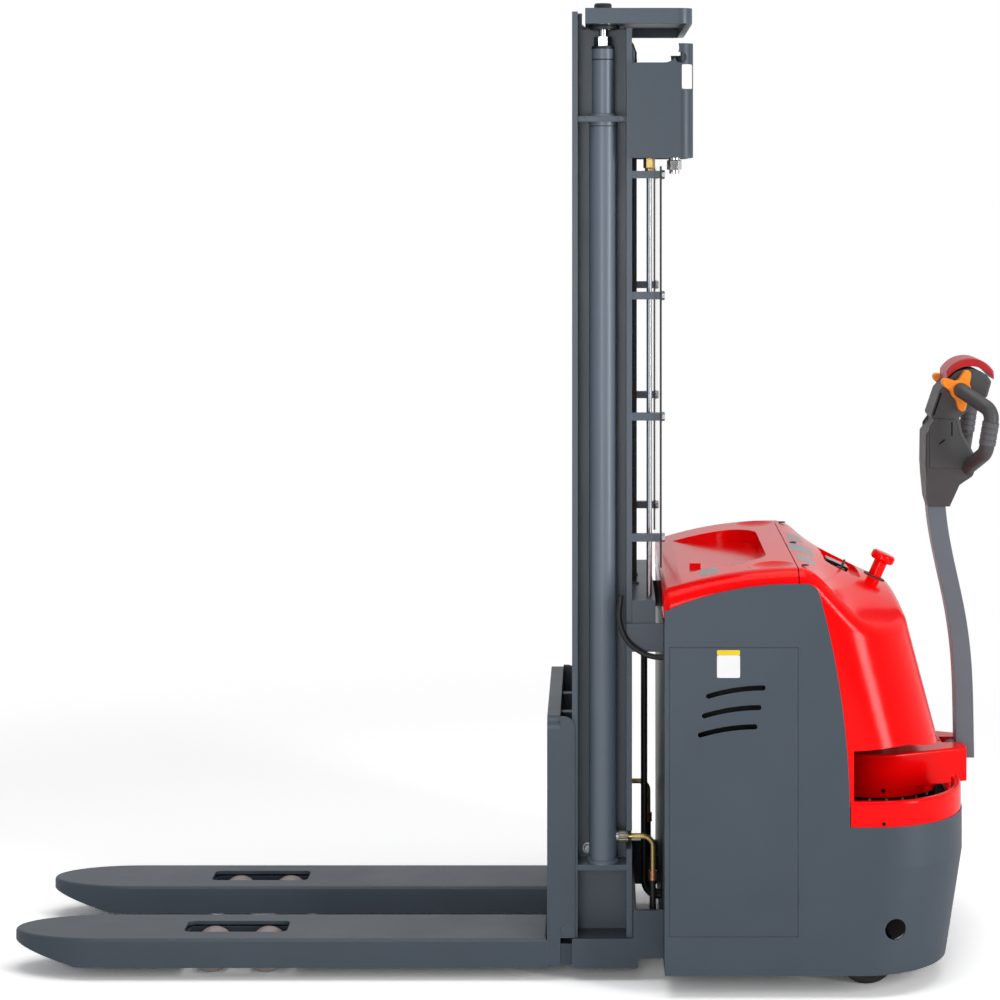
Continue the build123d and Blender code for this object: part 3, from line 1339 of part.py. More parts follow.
tyre_round = 8
hub_r = 72
hub_dish = 12
with BuildPart() as drive_wheel:
    wheel_y = (-drive_wheel_width / 2, drive_wheel_width / 2)
    rod_y(steer_x, wheel_y, drive_wheel_d / 2, drive_wheel_d / 2)
    fillet(drive_wheel.edges().filter_by(GeomType.CIRCLE), tyre_round)
    for way in (-1, 1):
        dish_y = (way * (drive_wheel_width / 2 - hub_dish), way * drive_wheel_width / 2)
        rod_y(steer_x, dish_y, drive_wheel_d / 2, hub_r, Mode.SUBTRACT)
    rod_y(steer_x, wheel_y, drive_wheel_d / 2, drive_axle_r + running_gap, Mode.SUBTRACT)
keep(drive_wheel, "drive_wheel")

# Castors: swivel forks under the wings, each with a trailing wheel
castor_play = 2
castor_leg = 6
castor_crown = 14
castor_axle_r = 7
castor_eye_r = 16
castor_over_wheel = 14
castor_leg_width = 40
castor_crown_top = wing_z - seat_gap
castor_half = castor_width / 2 + castor_play + castor_leg
wheel_x = castor_x - castor_trail
crown_bottom_z = castor_d + castor_over_wheel
for side, s in SIDES:
    with BuildPart() as castor_fork:
        y0 = s * castor_y
        rod_z(castor_x, y0, (crown_bottom_z, castor_crown_top), castor_half)
        rod_z(castor_x, y0, (castor_crown_top, wing_z + deck_plate), castor_stem_r)
        for way in (-1, 1):
            with BuildSketch(side_plane(y0 + way * (castor_half - castor_leg / 2))):
                Polygon(
                    (castor_x - castor_leg_width / 2, crown_bottom_z + castor_crown),
                    (castor_x + castor_leg_width / 2, crown_bottom_z + castor_crown),
                    (wheel_x + castor_eye_r, castor_d / 2),
                    (wheel_x - castor_eye_r, castor_d / 2),
                    align=None,
                )
                with Locations((wheel_x, castor_d / 2)):
                    Circle(castor_eye_r)
            extrude(amount=castor_leg / 2, both=True)
        rod_y(wheel_x, (y0 - castor_half, y0 + castor_half), castor_d / 2, castor_axle_r)
    keep(castor_fork, f"castor_fork_{side}")
    with BuildPart() as castor_wheel:
        tread_y = (y0 - castor_width / 2, y0 + castor_width / 2)
        rod_y(wheel_x, tread_y, castor_d / 2, castor_d / 2)
        fillet(castor_wheel.edges().filter_by(GeomType.CIRCLE), tread_round)
        rod_y(wheel_x, tread_y, castor_d / 2, castor_axle_r + running_gap, Mode.SUBTRACT)
    keep(castor_wheel, f"castor_wheel_{side}")

# Tiller head: turning disc with a tapering lug, a clevis slot and the tiller's pivot pin
pivot_pin_r = 9
pivot_eye_r = 24
eye_play = 4
pin_end = 4  # pin ends below the lug's sides
lug_bottom_z = head_top_z - lug_depth
lug_tangent = atan2(lug_half, lug_reach) + atan2(
    (lug_reach**2 + lug_half**2 - head_r**2) ** 0.5, head_r
)
head_edge = 5
with BuildPart() as tiller_head:
    with BuildSketch(Plane.XY.offset(lug_bottom_z)):
        tangent = (steer_x + head_r * cos(lug_tangent), head_r * sin(lug_tangent))
        lug_end_x = steer_x + lug_reach
        Polygon(
            tangent,
            (lug_end_x, lug_half),
            (lug_end_x, -lug_half),
            (tangent[0], -tangent[1]),
            align=None,
        )
        with Locations((steer_x, 0)):
            Circle(head_r)
    extrude(amount=lug_depth)
    fillet(tiller_head.edges().group_by(Axis.Z)[-1], head_edge)
    rod_z(steer_x, 0, (head_bottom_z, lug_bottom_z), head_r)
    rod_z(steer_x, 0, (head_bottom_z, head_top_z), motor_r, Mode.SUBTRACT)
    slot_back = (pivot_x - pivot_eye_r - eye_play, lug_end_x)
    block(slot_back, (-clevis_slot / 2, clevis_slot / 2), (lug_bottom_z, head_top_z), Mode.SUBTRACT)
    rod_y(pivot_x, (pin_end - lug_half, lug_half - pin_end), pivot_z, pivot_pin_r)
keep(tiller_head, "tiller_head")

# Tiller arm: a gently curved bar from the pivot up to the handle, given from the pivot
arm_line = ((25, -7), (23, 104), (17, 228), (2, 332), (-20, 434), (-39, 555))
with BuildPart() as tiller_arm:
    with BuildSketch(side_plane()):
        with BuildLine():
            ahead = [(pivot_x + x - arm_depth / 2, pivot_z + z) for x, z in arm_line]
            behind = [(pivot_x + x + arm_depth / 2, pivot_z + z) for x, z in arm_line]
            Spline(*ahead)
            Line(ahead[-1], behind[-1])
            Spline(*behind)
            Line(behind[0], ahead[0])
        make_face()
        with Locations((pivot_x, pivot_z)):
            Circle(pivot_eye_r)
            Circle(pivot_pin_r + running_gap, mode=Mode.SUBTRACT)
    extrude(amount=arm_width / 2, both=True)
keep(tiller_arm, "tiller_arm")

# Handle head: moulded console, its outline given from the pivot, narrowed towards the arm
console_bottom = arm_line[-1][1]
console_front = ((-58, 555), (-63, 572), (-68, 651), (-67, 719), (-46, 745), (-56, 760), (-37, 816))
console_top = ((-21, 834), (26, 864), (79, 835))
console_rear = ((70, 802), (7, 756), (15, 720), (51, 656), (37, 625), (9, 605), (-11, 555))
console_half = 58
console_foot_half = 34
console_taper = 85
console_corner = 8
console_round = 6
grip_r = 16.5
grip_axis = (7, 818)  # where the grips meet the console, and the butterfly's axis
belly_stem_r = 8
belly_stem_x = 27
belly_stem = 40
belly_travel = 3.5
button_r = 7
button_at = (59, 793)
button_y = 26
button_reach = 9
button_depth = 14
button_travel = 3
button_round = 2


def from_pivot(point):
    """A side-view point given from the tiller's pivot, in the part's own frame."""
    return (pivot_x + point[0], pivot_z + point[1])


face_run = (console_rear[0][0] - console_rear[1][0], console_rear[0][1] - console_rear[1][1])
face_length = hypot(*face_run)
button_normal = (face_run[1] / face_length, 0, -face_run[0] / face_length)
button_x, button_z = from_pivot(button_at)


def button_plane(y):
    """The console's lower rear face at one of its push buttons."""
    return Plane(origin=(button_x, y, button_z), x_dir=(0, 1, 0), z_dir=button_normal)


with BuildPart() as handle_head:
    with BuildSketch(side_plane()) as outline:
        with BuildLine():
            front_points = [from_pivot(p) for p in console_front]
            top_points = [from_pivot(p) for p in console_top]
            rear_points = [from_pivot(p) for p in console_rear]
            Polyline(*front_points, top_points[0])
            ThreePointArc(*top_points)
            Polyline(top_points[-1], *rear_points, front_points[0])
        make_face()
        fillet(outline.vertices().sort_by(Axis.Y)[2:], console_corner)
    extrude(amount=console_half, both=True)
    for end in (handle_head.faces().sort_by(Axis.Y)[0], handle_head.faces().sort_by(Axis.Y)[-1]):
        fillet(end.edges(), console_round)
    foot_z = pivot_z + console_bottom
    for side, s in SIDES:
        with BuildSketch(Plane(origin=(pivot_x, 0, foot_z), x_dir=(0, 1, 0), z_dir=(1, 0, 0))):
            Polygon(
                (s * console_foot_half, 0),
                (s * console_half, console_taper),
                (s * console_half, 0),
                align=None,
            )
        extrude(amount=2 * console_taper, both=True, mode=Mode.SUBTRACT)
    stem_x = pivot_x + belly_stem_x
    stem_z = (pivot_z + console_top[1][1] - belly_stem, pivot_z + console_top[1][1])
    rod_z(stem_x, 0, (stem_z[0], stem_z[1] + belly_stem), belly_stem_r + running_gap, Mode.SUBTRACT)
    for s in (-1, 1):
        with BuildSketch(button_plane(s * button_y)):
            Circle(button_r + running_gap)
        extrude(amount=-button_depth, mode=Mode.SUBTRACT)
        with BuildSketch(button_plane(s * button_y)):
            Circle(button_r + running_gap)
        extrude(amount=button_depth, mode=Mode.SUBTRACT)
keep(handle_head, "handle_head")

# Grips: closed loops of tube, from the console's top out to an elbow and back to its base
grip_loop = ((7, 40, 818), (7, 92, 818), (65, 158, 778), (51, 150, 688), (25, 40, 640))
grip_bends = (26, 28, 28)
with BuildPart() as handle_grips:
    for side, s in SIDES:
        loop = [(pivot_x + x, s * y, pivot_z + z) for x, y, z in grip_loop]
        with BuildLine():
            FilletPolyline(*loop, radius=list(grip_bends))
        with BuildSketch(Plane(origin=loop[0], z_dir=(0, s, 0))):
            Circle(grip_r)
        sweep()
    add(handle_head.part, mode=Mode.SUBTRACT)
keep(handle_grips, "handle_grips")

# Butterfly: a three-armed thumb lever round the inner end of each grip
fly_gap = 2
fly_in_y = console_half + fly_gap
fly_plate = 13
fly_hub_r = 25
fly_reach = 44
fly_arm = 13
fly_angles = (152, 68, -86)
paddle_width = 30
paddle_thick = 9
paddle_out = 11
paddle_round = 4
with BuildPart() as butterfly:
    axis_x, axis_z = from_pivot(grip_axis)
    for side, s in SIDES:
        with BuildSketch(side_plane(s * fly_in_y)):
            with Locations((axis_x, axis_z)):
                Circle(fly_hub_r)
                for angle in fly_angles:
                    with Locations(Location((0, 0, 0), (0, 0, angle))):
                        Rectangle(fly_reach, fly_arm, align=(Align.MIN, Align.CENTER))
                Circle(grip_r + running_gap, mode=Mode.SUBTRACT)
        extrude(amount=-s * fly_plate)
        with BuildSketch(side_plane(s * fly_in_y)):
            with Locations((axis_x, axis_z)):
                for angle in fly_angles:
                    with Locations(Location((0, 0, 0), (0, 0, angle))):
                        with Locations((fly_reach, 0)):
                            RectangleRounded(paddle_thick, paddle_width, paddle_round)
        extrude(amount=-s * (fly_plate + paddle_out))
keep(butterfly, "butterfly")

# Belly button: red safety cap over the console's top, and the lift and lower buttons
belly_gap = 5
belly_cap = 18
belly_overhang = 5  # rear edge of the cap past the console
belly_half = 55
belly_round = 5
stem_play = 1  # left under the stem at full travel
with BuildPart() as belly_button:
    with BuildSketch(side_plane()):
        with BuildLine():
            low = [(x, z + belly_gap) for x, z in top_points]
            low[-1] = (low[-1][0] + belly_overhang, low[-1][1])
            high = [(x, z + belly_cap) for x, z in low]
            ThreePointArc(*low)
            Line(low[-1], high[-1])
            ThreePointArc(*high)
            Line(high[0], low[0])
        make_face()
    extrude(amount=belly_half, both=True)
    fillet(belly_button.edges().group_by(Axis.Z)[-1], belly_round)
    stem_low_z = stem_z[0] + belly_travel + stem_play
    rod_z(stem_x, 0, (stem_low_z, stem_z[1] + belly_gap + belly_cap / 2), belly_stem_r)
keep(belly_button, "belly_button")

for name, s in (("lift_button", -1), ("lower_button", 1)):
    with BuildPart() as push_button:
        with BuildSketch(button_plane(s * button_y)):
            Circle(button_r)
        extrude(amount=button_reach)
        with BuildSketch(button_plane(s * button_y)):
            Circle(button_r)
        extrude(amount=button_travel + stem_play - button_depth)
        tip = push_button.faces().sort_by(Axis(origin=(0, 0, 0), direction=button_normal))[-1]
        fillet(tip.edges(), button_round)
    keep(push_button, name)
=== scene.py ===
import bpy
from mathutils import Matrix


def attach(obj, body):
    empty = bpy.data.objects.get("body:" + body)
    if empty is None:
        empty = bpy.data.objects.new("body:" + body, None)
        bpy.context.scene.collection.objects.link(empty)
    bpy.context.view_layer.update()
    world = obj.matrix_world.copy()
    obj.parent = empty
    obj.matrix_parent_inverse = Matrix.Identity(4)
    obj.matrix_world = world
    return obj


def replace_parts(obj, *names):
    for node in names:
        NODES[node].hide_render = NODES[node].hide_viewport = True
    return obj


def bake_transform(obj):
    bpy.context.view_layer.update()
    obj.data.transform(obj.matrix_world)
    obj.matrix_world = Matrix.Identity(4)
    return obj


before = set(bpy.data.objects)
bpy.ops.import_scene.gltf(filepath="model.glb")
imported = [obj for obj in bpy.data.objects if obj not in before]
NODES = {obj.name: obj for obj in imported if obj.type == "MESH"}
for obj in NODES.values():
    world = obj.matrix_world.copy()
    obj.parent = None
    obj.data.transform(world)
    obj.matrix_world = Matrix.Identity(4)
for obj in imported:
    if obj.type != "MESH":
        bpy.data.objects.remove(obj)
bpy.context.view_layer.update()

from math import atan2, cos, exp, hypot, pi, radians, sin

import bmesh
import bpy
from mathutils import Matrix, Vector
from mathutils.bvhtree import BVHTree

MM = 0.001
SIDES = (("left", -1), ("right", 1))
UP = (0, 0, 1)
NEAR = (0, -1, 0)
REARWARD = (1, 0, 0)


# Colour and node helpers
def linear(code):
    """An sRGB hex colour as linear red, green, blue and alpha."""
    channels = [int(code[i:i + 2], 16) / 255 for i in (0, 2, 4)]
    return [c / 12.92 if c <= 0.04045 else ((c + 0.055) / 1.055) ** 2.4 for c in channels] + [1.0]


def add_node(tree, kind, inputs=None, **settings):
    """Add a node, set its properties, and give each named input a value or a link."""
    made = tree.nodes.new(kind)
    for key, value in settings.items():
        setattr(made, key, value)
    for socket, value in (inputs or {}).items():
        if isinstance(value, bpy.types.NodeSocket):
            tree.links.new(value, made.inputs[socket])
        else:
            made.inputs[socket].default_value = value
    return made


def blank_material(name):
    """A new material with its tree and its principled shader."""
    made = bpy.data.materials.new(name)
    made.use_nodes = True
    return made, made.node_tree, made.node_tree.nodes["Principled BSDF"]


def per_metre(size_mm):
    """A noise scale whose features are about this many millimetres across."""
    return 1 / (size_mm * MM)


PATCH_DETAIL = 4.0
PATCH_ROUGHNESS = 0.6
PATCH_SPAN = (0.3, 0.7)  # where most of the noise lies
GRAIN_DETAIL = 2.0
EDGE_SAMPLES = 4
WEAR_AND_HIGHLIGHT_TURN = (0.995, 0.90)  # cosine of the edge's turn, from no painted wear and highlight to the full amount
WEAR_AND_HIGHLIGHT_MOST = 0.9


def mixed(tree, factor, first, second):
    """The colour between two colours or sockets."""
    return add_node(
        tree, "ShaderNodeMix", {"Factor": factor, 6: first, 7: second}, data_type="RGBA"
    ).outputs[2]


def coated(name, colours, patch_mm, roughness, grain_mm, grain_depth_mm, edge_mm=0.0, wear_and_highlight_colour=None, **shader):
    """A finish with drifting colour, uneven gloss, a fine grain and softened edges, perhaps lightened as
    painted wear and painted highlight.
    """
    made, tree, bsdf = blank_material(name)
    place = add_node(tree, "ShaderNodeTexCoord").outputs["Object"]
    patches = add_node(
        tree,
        "ShaderNodeTexNoise",
        {"Vector": place, "Scale": per_metre(patch_mm), "Detail": PATCH_DETAIL, "Roughness": PATCH_ROUGHNESS},
    ).outputs["Fac"]
    tint = mixed(tree, patches, linear(colours[0]), linear(colours[1]))
    gloss = add_node(
        tree,
        "ShaderNodeMapRange",
        {"Value": patches, "From Min": PATCH_SPAN[0], "From Max": PATCH_SPAN[1],
         "To Min": roughness[0], "To Max": roughness[1]},
    )
    tree.links.new(gloss.outputs["Result"], bsdf.inputs["Roughness"])
    grain = add_node(
        tree, "ShaderNodeTexNoise", {"Vector": place, "Scale": per_metre(grain_mm), "Detail": GRAIN_DETAIL}
    )
    relief = add_node(
        tree, "ShaderNodeBump", {"Height": grain.outputs["Fac"], "Distance": grain_depth_mm * MM}
    )
    if edge_mm:
        rounded = add_node(
            tree, "ShaderNodeBevel", {"Radius": edge_mm * MM}, samples=EDGE_SAMPLES
        ).outputs["Normal"]
        tree.links.new(rounded, relief.inputs["Normal"])
        if wear_and_highlight_colour:
            tint = edge_wear_and_highlight(tree, tint, rounded, patches, wear_and_highlight_colour)
    tree.links.new(tint, bsdf.inputs["Base Color"])
    tree.links.new(relief.outputs["Normal"], bsdf.inputs["Normal"])
    for socket, value in shader.items():
        bsdf.inputs[socket.replace("_", " ").title().replace("Ior", "IOR")].default_value = value
    return made


def edge_wear_and_highlight(tree, tint, rounded, patches, wear_and_highlight_colour):
    """Lighten a colour where a softened edge turns away from its face, more in some patches: painted wear and
    painted highlight along the edges.
    """
    flat = add_node(tree, "ShaderNodeNewGeometry").outputs["Normal"]
    turn = add_node(
        tree, "ShaderNodeVectorMath", {0: flat, 1: rounded}, operation="DOT_PRODUCT"
    ).outputs["Value"]
    edge = add_node(
        tree,
        "ShaderNodeMapRange",
        {"Value": turn, "From Min": WEAR_AND_HIGHLIGHT_TURN[0], "From Max": WEAR_AND_HIGHLIGHT_TURN[1], "To Max": WEAR_AND_HIGHLIGHT_MOST},
    ).outputs["Result"]
    share = add_node(tree, "ShaderNodeMath", {0: edge, 1: patches}, operation="MULTIPLY").outputs[0]
    return mixed(tree, share, tint, linear(wear_and_highlight_colour))


# Materials, each named for what the real surface is
def powder_coated_steel():
    # Blue-grey powder coat: semi-gloss, with a faint orange peel that breaks up reflections, and edges
    # lightened as painted wear and painted highlight
    return coated(
        "powder_coated_steel", ("37424D", "3E4955"), patch_mm=140, roughness=(0.38, 0.46),
        grain_mm=2.6, grain_depth_mm=0.10, edge_mm=2.0, wear_and_highlight_colour="6A747E", ior=1.5,
    )


def mast_coat_lightened_for_shade():
    # The mast's sections: the body's coat painted a little lighter to make up for the shade they hang in,
    # finer and smoother, with edges lightened as painted wear and painted highlight
    return coated(
        "mast_coat_lightened_for_shade", ("424D58", "4A5561"), patch_mm=180, roughness=(0.34, 0.42),
        grain_mm=2.6, grain_depth_mm=0.06, edge_mm=1.6, wear_and_highlight_colour="6E7985", ior=1.5,
    )


def cylinder_paint_lightened_for_highlight():
    # Smooth enamel sprayed on the cylinder barrels, painted lighter than the coat beside it as a painted
    # highlight for the light they catch
    return coated(
        "cylinder_paint_lightened_for_highlight", ("5E6975", "67727F"), patch_mm=180, roughness=(0.34, 0.40),
        grain_mm=3.0, grain_depth_mm=0.02, edge_mm=1.6, ior=1.5,
    )


def red_gloss_moulding():
    # Sprayed and polished moulding: saturated red with a clear, mirror-like top coat
    return coated(
        "red_gloss_moulding", ("F40204", "FF0306"), patch_mm=260, roughness=(0.13, 0.17),
        grain_mm=30.0, grain_depth_mm=0.05, edge_mm=1.5, ior=1.45, specular_ior_level=0.18,
    )


def red_cap_plastic():
    # Moulded cap: a deeper red with a satin face
    return coated(
        "red_cap_plastic", ("A80E16", "B6131C"), patch_mm=40, roughness=(0.30, 0.38),
        grain_mm=1.2, grain_depth_mm=0.04, edge_mm=1.2, ior=1.48,
    )


def grained_console_plastic():
    # Dark moulded plastic with a spark-eroded grain, worn a little smoother in patches
    return coated(
        "grained_console_plastic", ("3A3A3B", "474748"), patch_mm=35, roughness=(0.42, 0.55),
        grain_mm=1.0, grain_depth_mm=0.06, edge_mm=2.0, ior=1.46,
    )


def soft_grip_rubber():
    # Overmoulded grip sleeve: a lighter, dull grey elastomer
    return coated(
        "soft_grip_rubber", ("4E4E51", "5A5A5D"), patch_mm=20, roughness=(0.55, 0.65),
        grain_mm=1.0, grain_depth_mm=0.05, ior=1.46,
    )


def orange_switch_plastic():
    # Bright moulded switch parts with a satin sheen
    return coated(
        "orange_switch_plastic", ("FF8410", "FF9420"), patch_mm=25, roughness=(0.28, 0.36),
        grain_mm=1.0, grain_depth_mm=0.02, edge_mm=1.0, ior=1.48,
    )


def painted_arm():
    # Grey paint over a cast arm, a little smoother than the chassis
    return coated(
        "painted_arm", ("59616A", "636B74"), patch_mm=120, roughness=(0.36, 0.44),
        grain_mm=2.2, grain_depth_mm=0.06, edge_mm=2.5, ior=1.5,
    )


def cast_polyurethane():
    # Load roller treads: waxy beige-grey polyurethane, scuffed by the floor
    return coated(
        "cast_polyurethane", ("8D8482", "A79D9A"), patch_mm=14, roughness=(0.45, 0.60),
        grain_mm=1.5, grain_depth_mm=0.08, edge_mm=1.0, ior=1.5,
    )


def black_tread_polyurethane():
    # Drive and castor treads: near-black, dull, dusted with floor dirt
    return coated(
        "black_tread_polyurethane", ("161617", "262627"), patch_mm=18, roughness=(0.55, 0.70),
        grain_mm=1.5, grain_depth_mm=0.10, edge_mm=1.0, ior=1.5,
    )


def oiled_chain_steel():
    # Leaf chain: dark steel under an oily film
    return coated(
        "oiled_chain_steel", ("1D1D1F", "303033"), patch_mm=8, roughness=(0.28, 0.45),
        grain_mm=1.0, grain_depth_mm=0.03, ior=1.5, metallic=0.7,
    )


def hose_rubber():
    # Black rubber hose with a dull skin
    return coated(
        "hose_rubber", ("121213", "1C1C1D"), patch_mm=20, roughness=(0.42, 0.55),
        grain_mm=1.2, grain_depth_mm=0.05, ior=1.5,
    )


def ground_chrome():
    # Hard-chromed rod: bright, with the finest grinding haze
    return coated(
        "ground_chrome", ("D2D5D8", "E2E4E6"), patch_mm=30, roughness=(0.06, 0.12),
        grain_mm=1.0, grain_depth_mm=0.005, edge_mm=0.6, metallic=1.0,
    )


def yellow_zinc():
    # Passivated pipe: straw yellow with a pink-green drift
    return coated(
        "yellow_zinc", ("B89A55", "D0BC85"), patch_mm=12, roughness=(0.26, 0.38),
        grain_mm=1.0, grain_depth_mm=0.01, edge_mm=0.5, metallic=0.9,
    )


def copper_ferrule():
    # Crimped ferrule: copper-coloured plating, softly reflective
    return coated(
        "copper_ferrule", ("A4694A", "C08A66"), patch_mm=6, roughness=(0.30, 0.42),
        grain_mm=1.0, grain_depth_mm=0.01, edge_mm=0.4, metallic=0.9,
    )


def bright_zinc():
    # Zinc-plated steel: pale grey, softly reflective, with a spangled drift
    return coated(
        "bright_zinc", ("8F9397", "B5B9BD"), patch_mm=10, roughness=(0.28, 0.42),
        grain_mm=1.0, grain_depth_mm=0.02, edge_mm=0.8, metallic=0.9,
    )


def black_enamel():
    # Black stove enamel on the motor and gearbox
    return coated(
        "black_enamel", ("17181A", "232528"), patch_mm=60, roughness=(0.35, 0.45),
        grain_mm=2.0, grain_depth_mm=0.05, edge_mm=1.5, ior=1.5,
    )


def black_battery_case():
    # Moulded battery case: plain black with a dull skin
    return coated(
        "black_battery_case", ("1D1D1F", "28282A"), patch_mm=60, roughness=(0.45, 0.55),
        grain_mm=1.2, grain_depth_mm=0.05, edge_mm=1.5, ior=1.46,
    )


def cast_alloy():
    # Plain cast alloy housing with a sandy skin
    return coated(
        "cast_alloy", ("9FA3A7", "B9BCC0"), patch_mm=16, roughness=(0.40, 0.52),
        grain_mm=1.2, grain_depth_mm=0.06, edge_mm=1.0, metallic=0.9,
    )


def black_display():
    # Gauge lens: glossy black
    return coated(
        "black_display", ("0E0E10", "141416"), patch_mm=40, roughness=(0.08, 0.12),
        grain_mm=20.0, grain_depth_mm=0.01, edge_mm=0.6, ior=1.5,
    )


def clear_sheet():
    # Clear guard sheet: thin polycarbonate, almost invisible, with a little haze
    made, tree, bsdf = blank_material("clear_sheet")
    place = add_node(tree, "ShaderNodeTexCoord").outputs["Object"]
    haze = add_node(tree, "ShaderNodeTexNoise", {"Vector": place, "Scale": per_metre(60), "Detail": 3.0})
    gloss = add_node(
        tree, "ShaderNodeMapRange", {"Value": haze.outputs["Fac"], "To Min": 0.02, "To Max": 0.07}
    )
    tree.links.new(gloss.outputs["Result"], bsdf.inputs["Roughness"])
    bsdf.inputs["Base Color"].default_value = linear("DCE3E6")
    bsdf.inputs["Alpha"].default_value = 0.10
    bsdf.inputs["IOR"].default_value = 1.2
    return made


def plain_white_label():
    # Blank label stock: satin white vinyl
    return coated(
        "plain_white_label", ("E9E9EA", "F4F4F5"), patch_mm=30, roughness=(0.35, 0.45),
        grain_mm=2.0, grain_depth_mm=0.01, ior=1.46,
    )


def faded_label():
    # Blank label stock on the covers, dulled by handling
    return coated(
        "faded_label", ("A39C9D", "B3ACAD"), patch_mm=18, roughness=(0.40, 0.50),
        grain_mm=2.0, grain_depth_mm=0.01, ior=1.46,
    )


def plain_yellow_label():
    # Blank yellow vinyl
    return coated(
        "plain_yellow_label", ("E8C400", "F2D21A"), patch_mm=30, roughness=(0.35, 0.45),
        grain_mm=2.0, grain_depth_mm=0.01, ior=1.46,
    )


def painted_recess_shade():
    # Painted shade: matt black standing for the unlit inside of a hole or a slot
    return coated(
        "painted_recess_shade", ("050505", "0A0A0A"), patch_mm=10, roughness=(0.7, 0.8),
        grain_mm=1.0, grain_depth_mm=0.01, ior=1.3,
    )


STEEL = powder_coated_steel()
MAST = mast_coat_lightened_for_shade()
BARREL = cylinder_paint_lightened_for_highlight()
RED = red_gloss_moulding()
CAP = red_cap_plastic()
CONSOLE = grained_console_plastic()
GRIP = soft_grip_rubber()
ORANGE = orange_switch_plastic()
ARM = painted_arm()
ROLLER = cast_polyurethane()
TREAD = black_tread_polyurethane()
CHAIN = oiled_chain_steel()
HOSE = hose_rubber()
CHROME = ground_chrome()
YELLOW = yellow_zinc()
COPPER = copper_ferrule()
ZINC = bright_zinc()
ENAMEL = black_enamel()
CASE = black_battery_case()
ALLOY = cast_alloy()
DISPLAY = black_display()
CLEAR = clear_sheet()
WHITE = plain_white_label()
FADED = faded_label()
LABEL_YELLOW = plain_yellow_label()
DARK = painted_recess_shade()

FINISHES = {
    STEEL: ("fork_left", "fork_right", "carriage_frame", "support_leg_left", "support_leg_right",
            "base_frame", "body_shell", "side_panels", "mast_upper_tie"),
    MAST: ("outer_rail_left", "outer_rail_right", "mast_lower_tie", "inner_mast_frame", "crosshead",
           "cylinder_clamps", "guard_brackets"),
    BARREL: ("lift_cylinder_left", "lift_cylinder_right"),
    RED: ("battery_cover", "drive_hood", "tiller_head", "emergency_stop"),
    CAP: ("belly_button",),
    CONSOLE: ("handle_head", "handle_grips", "key"),
    ORANGE: ("butterfly", "lift_button", "lower_button"),
    ARM: ("tiller_arm",),
    ROLLER: ("load_roller_left_front", "load_roller_left_rear", "load_roller_right_front",
             "load_roller_right_rear"),
    TREAD: ("drive_wheel", "castor_wheel_left", "castor_wheel_right"),
    CHAIN: ("chain_rear", "chain_front", "chain_wraps"),
    HOSE: ("supply_hoses",),
    CHROME: ("lift_rods",),
    YELLOW: ("feed_pipes",),
    ZINC: ("carriage_rollers", "outer_mast_rollers", "inner_mast_rollers", "bogie_left", "bogie_right",
           "sheave_left", "sheave_right", "riser_pipe", "castor_fork_left", "castor_fork_right"),
    ENAMEL: ("drive_unit", "pump_unit"),
    CASE: ("battery_pack",),
    ALLOY: ("controller",),
    DISPLAY: ("gauge",),
    CLEAR: ("mast_guard",),
}
for finish, names in FINISHES.items():
    for name in names:
        NODES[name].data.materials.clear()
        NODES[name].data.materials.append(finish)


# Making pieces: one function places a finished mesh, the others make its shape
def add_piece(name, mesh, finish, body):
    """A finished mesh as a piece of the object, riding on a body."""
    mesh.materials.clear()
    mesh.materials.append(finish)
    piece = bpy.data.objects.new(name, mesh)
    bpy.context.scene.collection.objects.link(piece)
    if body:
        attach(piece, body)
    return piece


MERGE = 1e-6  # metres
SMOOTH_DEGREES = 35


def close_shape(shape, name):
    """A bmesh as a mesh: doubles merged, faces outwards, smooth except at its edges."""
    bmesh.ops.remove_doubles(shape, verts=shape.verts, dist=MERGE)
    bmesh.ops.recalc_face_normals(shape, faces=shape.faces)
    for face in shape.faces:
        face.smooth = True
    for edge in shape.edges:
        edge.smooth = len(edge.link_faces) == 2 and edge.calc_face_angle(pi) < radians(SMOOTH_DEGREES)
    mesh = bpy.data.meshes.new(name)
    shape.to_mesh(mesh)
    shape.free()
    return mesh


def facing(direction):
    """The rotation that points a shape's own Z along a direction."""
    return Vector(direction).to_track_quat("Z", "Y").to_matrix().to_4x4()


def spin(shape, profile, foot, direction=UP, sides=48):
    """Spin (radius, height) points in mm about an axis through foot; a ring's profile starts off the axis.

    A radius may be a function of the angle, which is measured from the shape's own X.
    """
    place = Matrix.Translation(Vector(foot) * MM) @ facing(direction)
    rings = []
    for radius, height in profile:
        count = sides if radius else 1
        rings.append([])
        for i in range(count):
            angle = 2 * pi * i / sides
            reach = radius(angle) if callable(radius) else radius
            spot = Vector((reach * cos(angle), reach * sin(angle), height)) * MM
            rings[-1].append(shape.verts.new(place @ spot))
    pairs = list(zip(rings, rings[1:]))
    if profile[0][0] and profile[-1][0]:
        pairs.append((rings[-1], rings[0]))
    for low, high in pairs:
        for i in range(sides):
            j = i + 1
            corners = [low[i % len(low)], low[j % len(low)], high[j % len(high)], high[i % len(high)]]
            shape.faces.new(list(dict.fromkeys(corners)))


def turned(name, profiles, finish, body):
    """One piece from several spun profiles, each (profile, foot, direction, sides)."""
    shape = bmesh.new()
    for spun in profiles:
        spin(shape, *spun)
    return add_piece(name, close_shape(shape, name), finish, body)


def disc(radius, thick, edge=0.4):
    """The profile of a flat disc with a small bevel."""
    return ((0, 0), (radius, 0), (radius, thick - edge), (radius - edge, thick), (0, thick))


def ring(inner, outer, low, high, edge=0.4):
    """The profile of a ring with small bevels outside."""
    return (
        (inner, low),
        (outer - edge, low),
        (outer, low + edge),
        (outer, high - edge),
        (outer - edge, high),
        (inner, high),
    )


def hexagon(radius, low, high, bore, chamfer=1.2):
    """The profile of a nut for six sides, with chamfered ends."""
    return ring(bore, radius, low, high, chamfer)


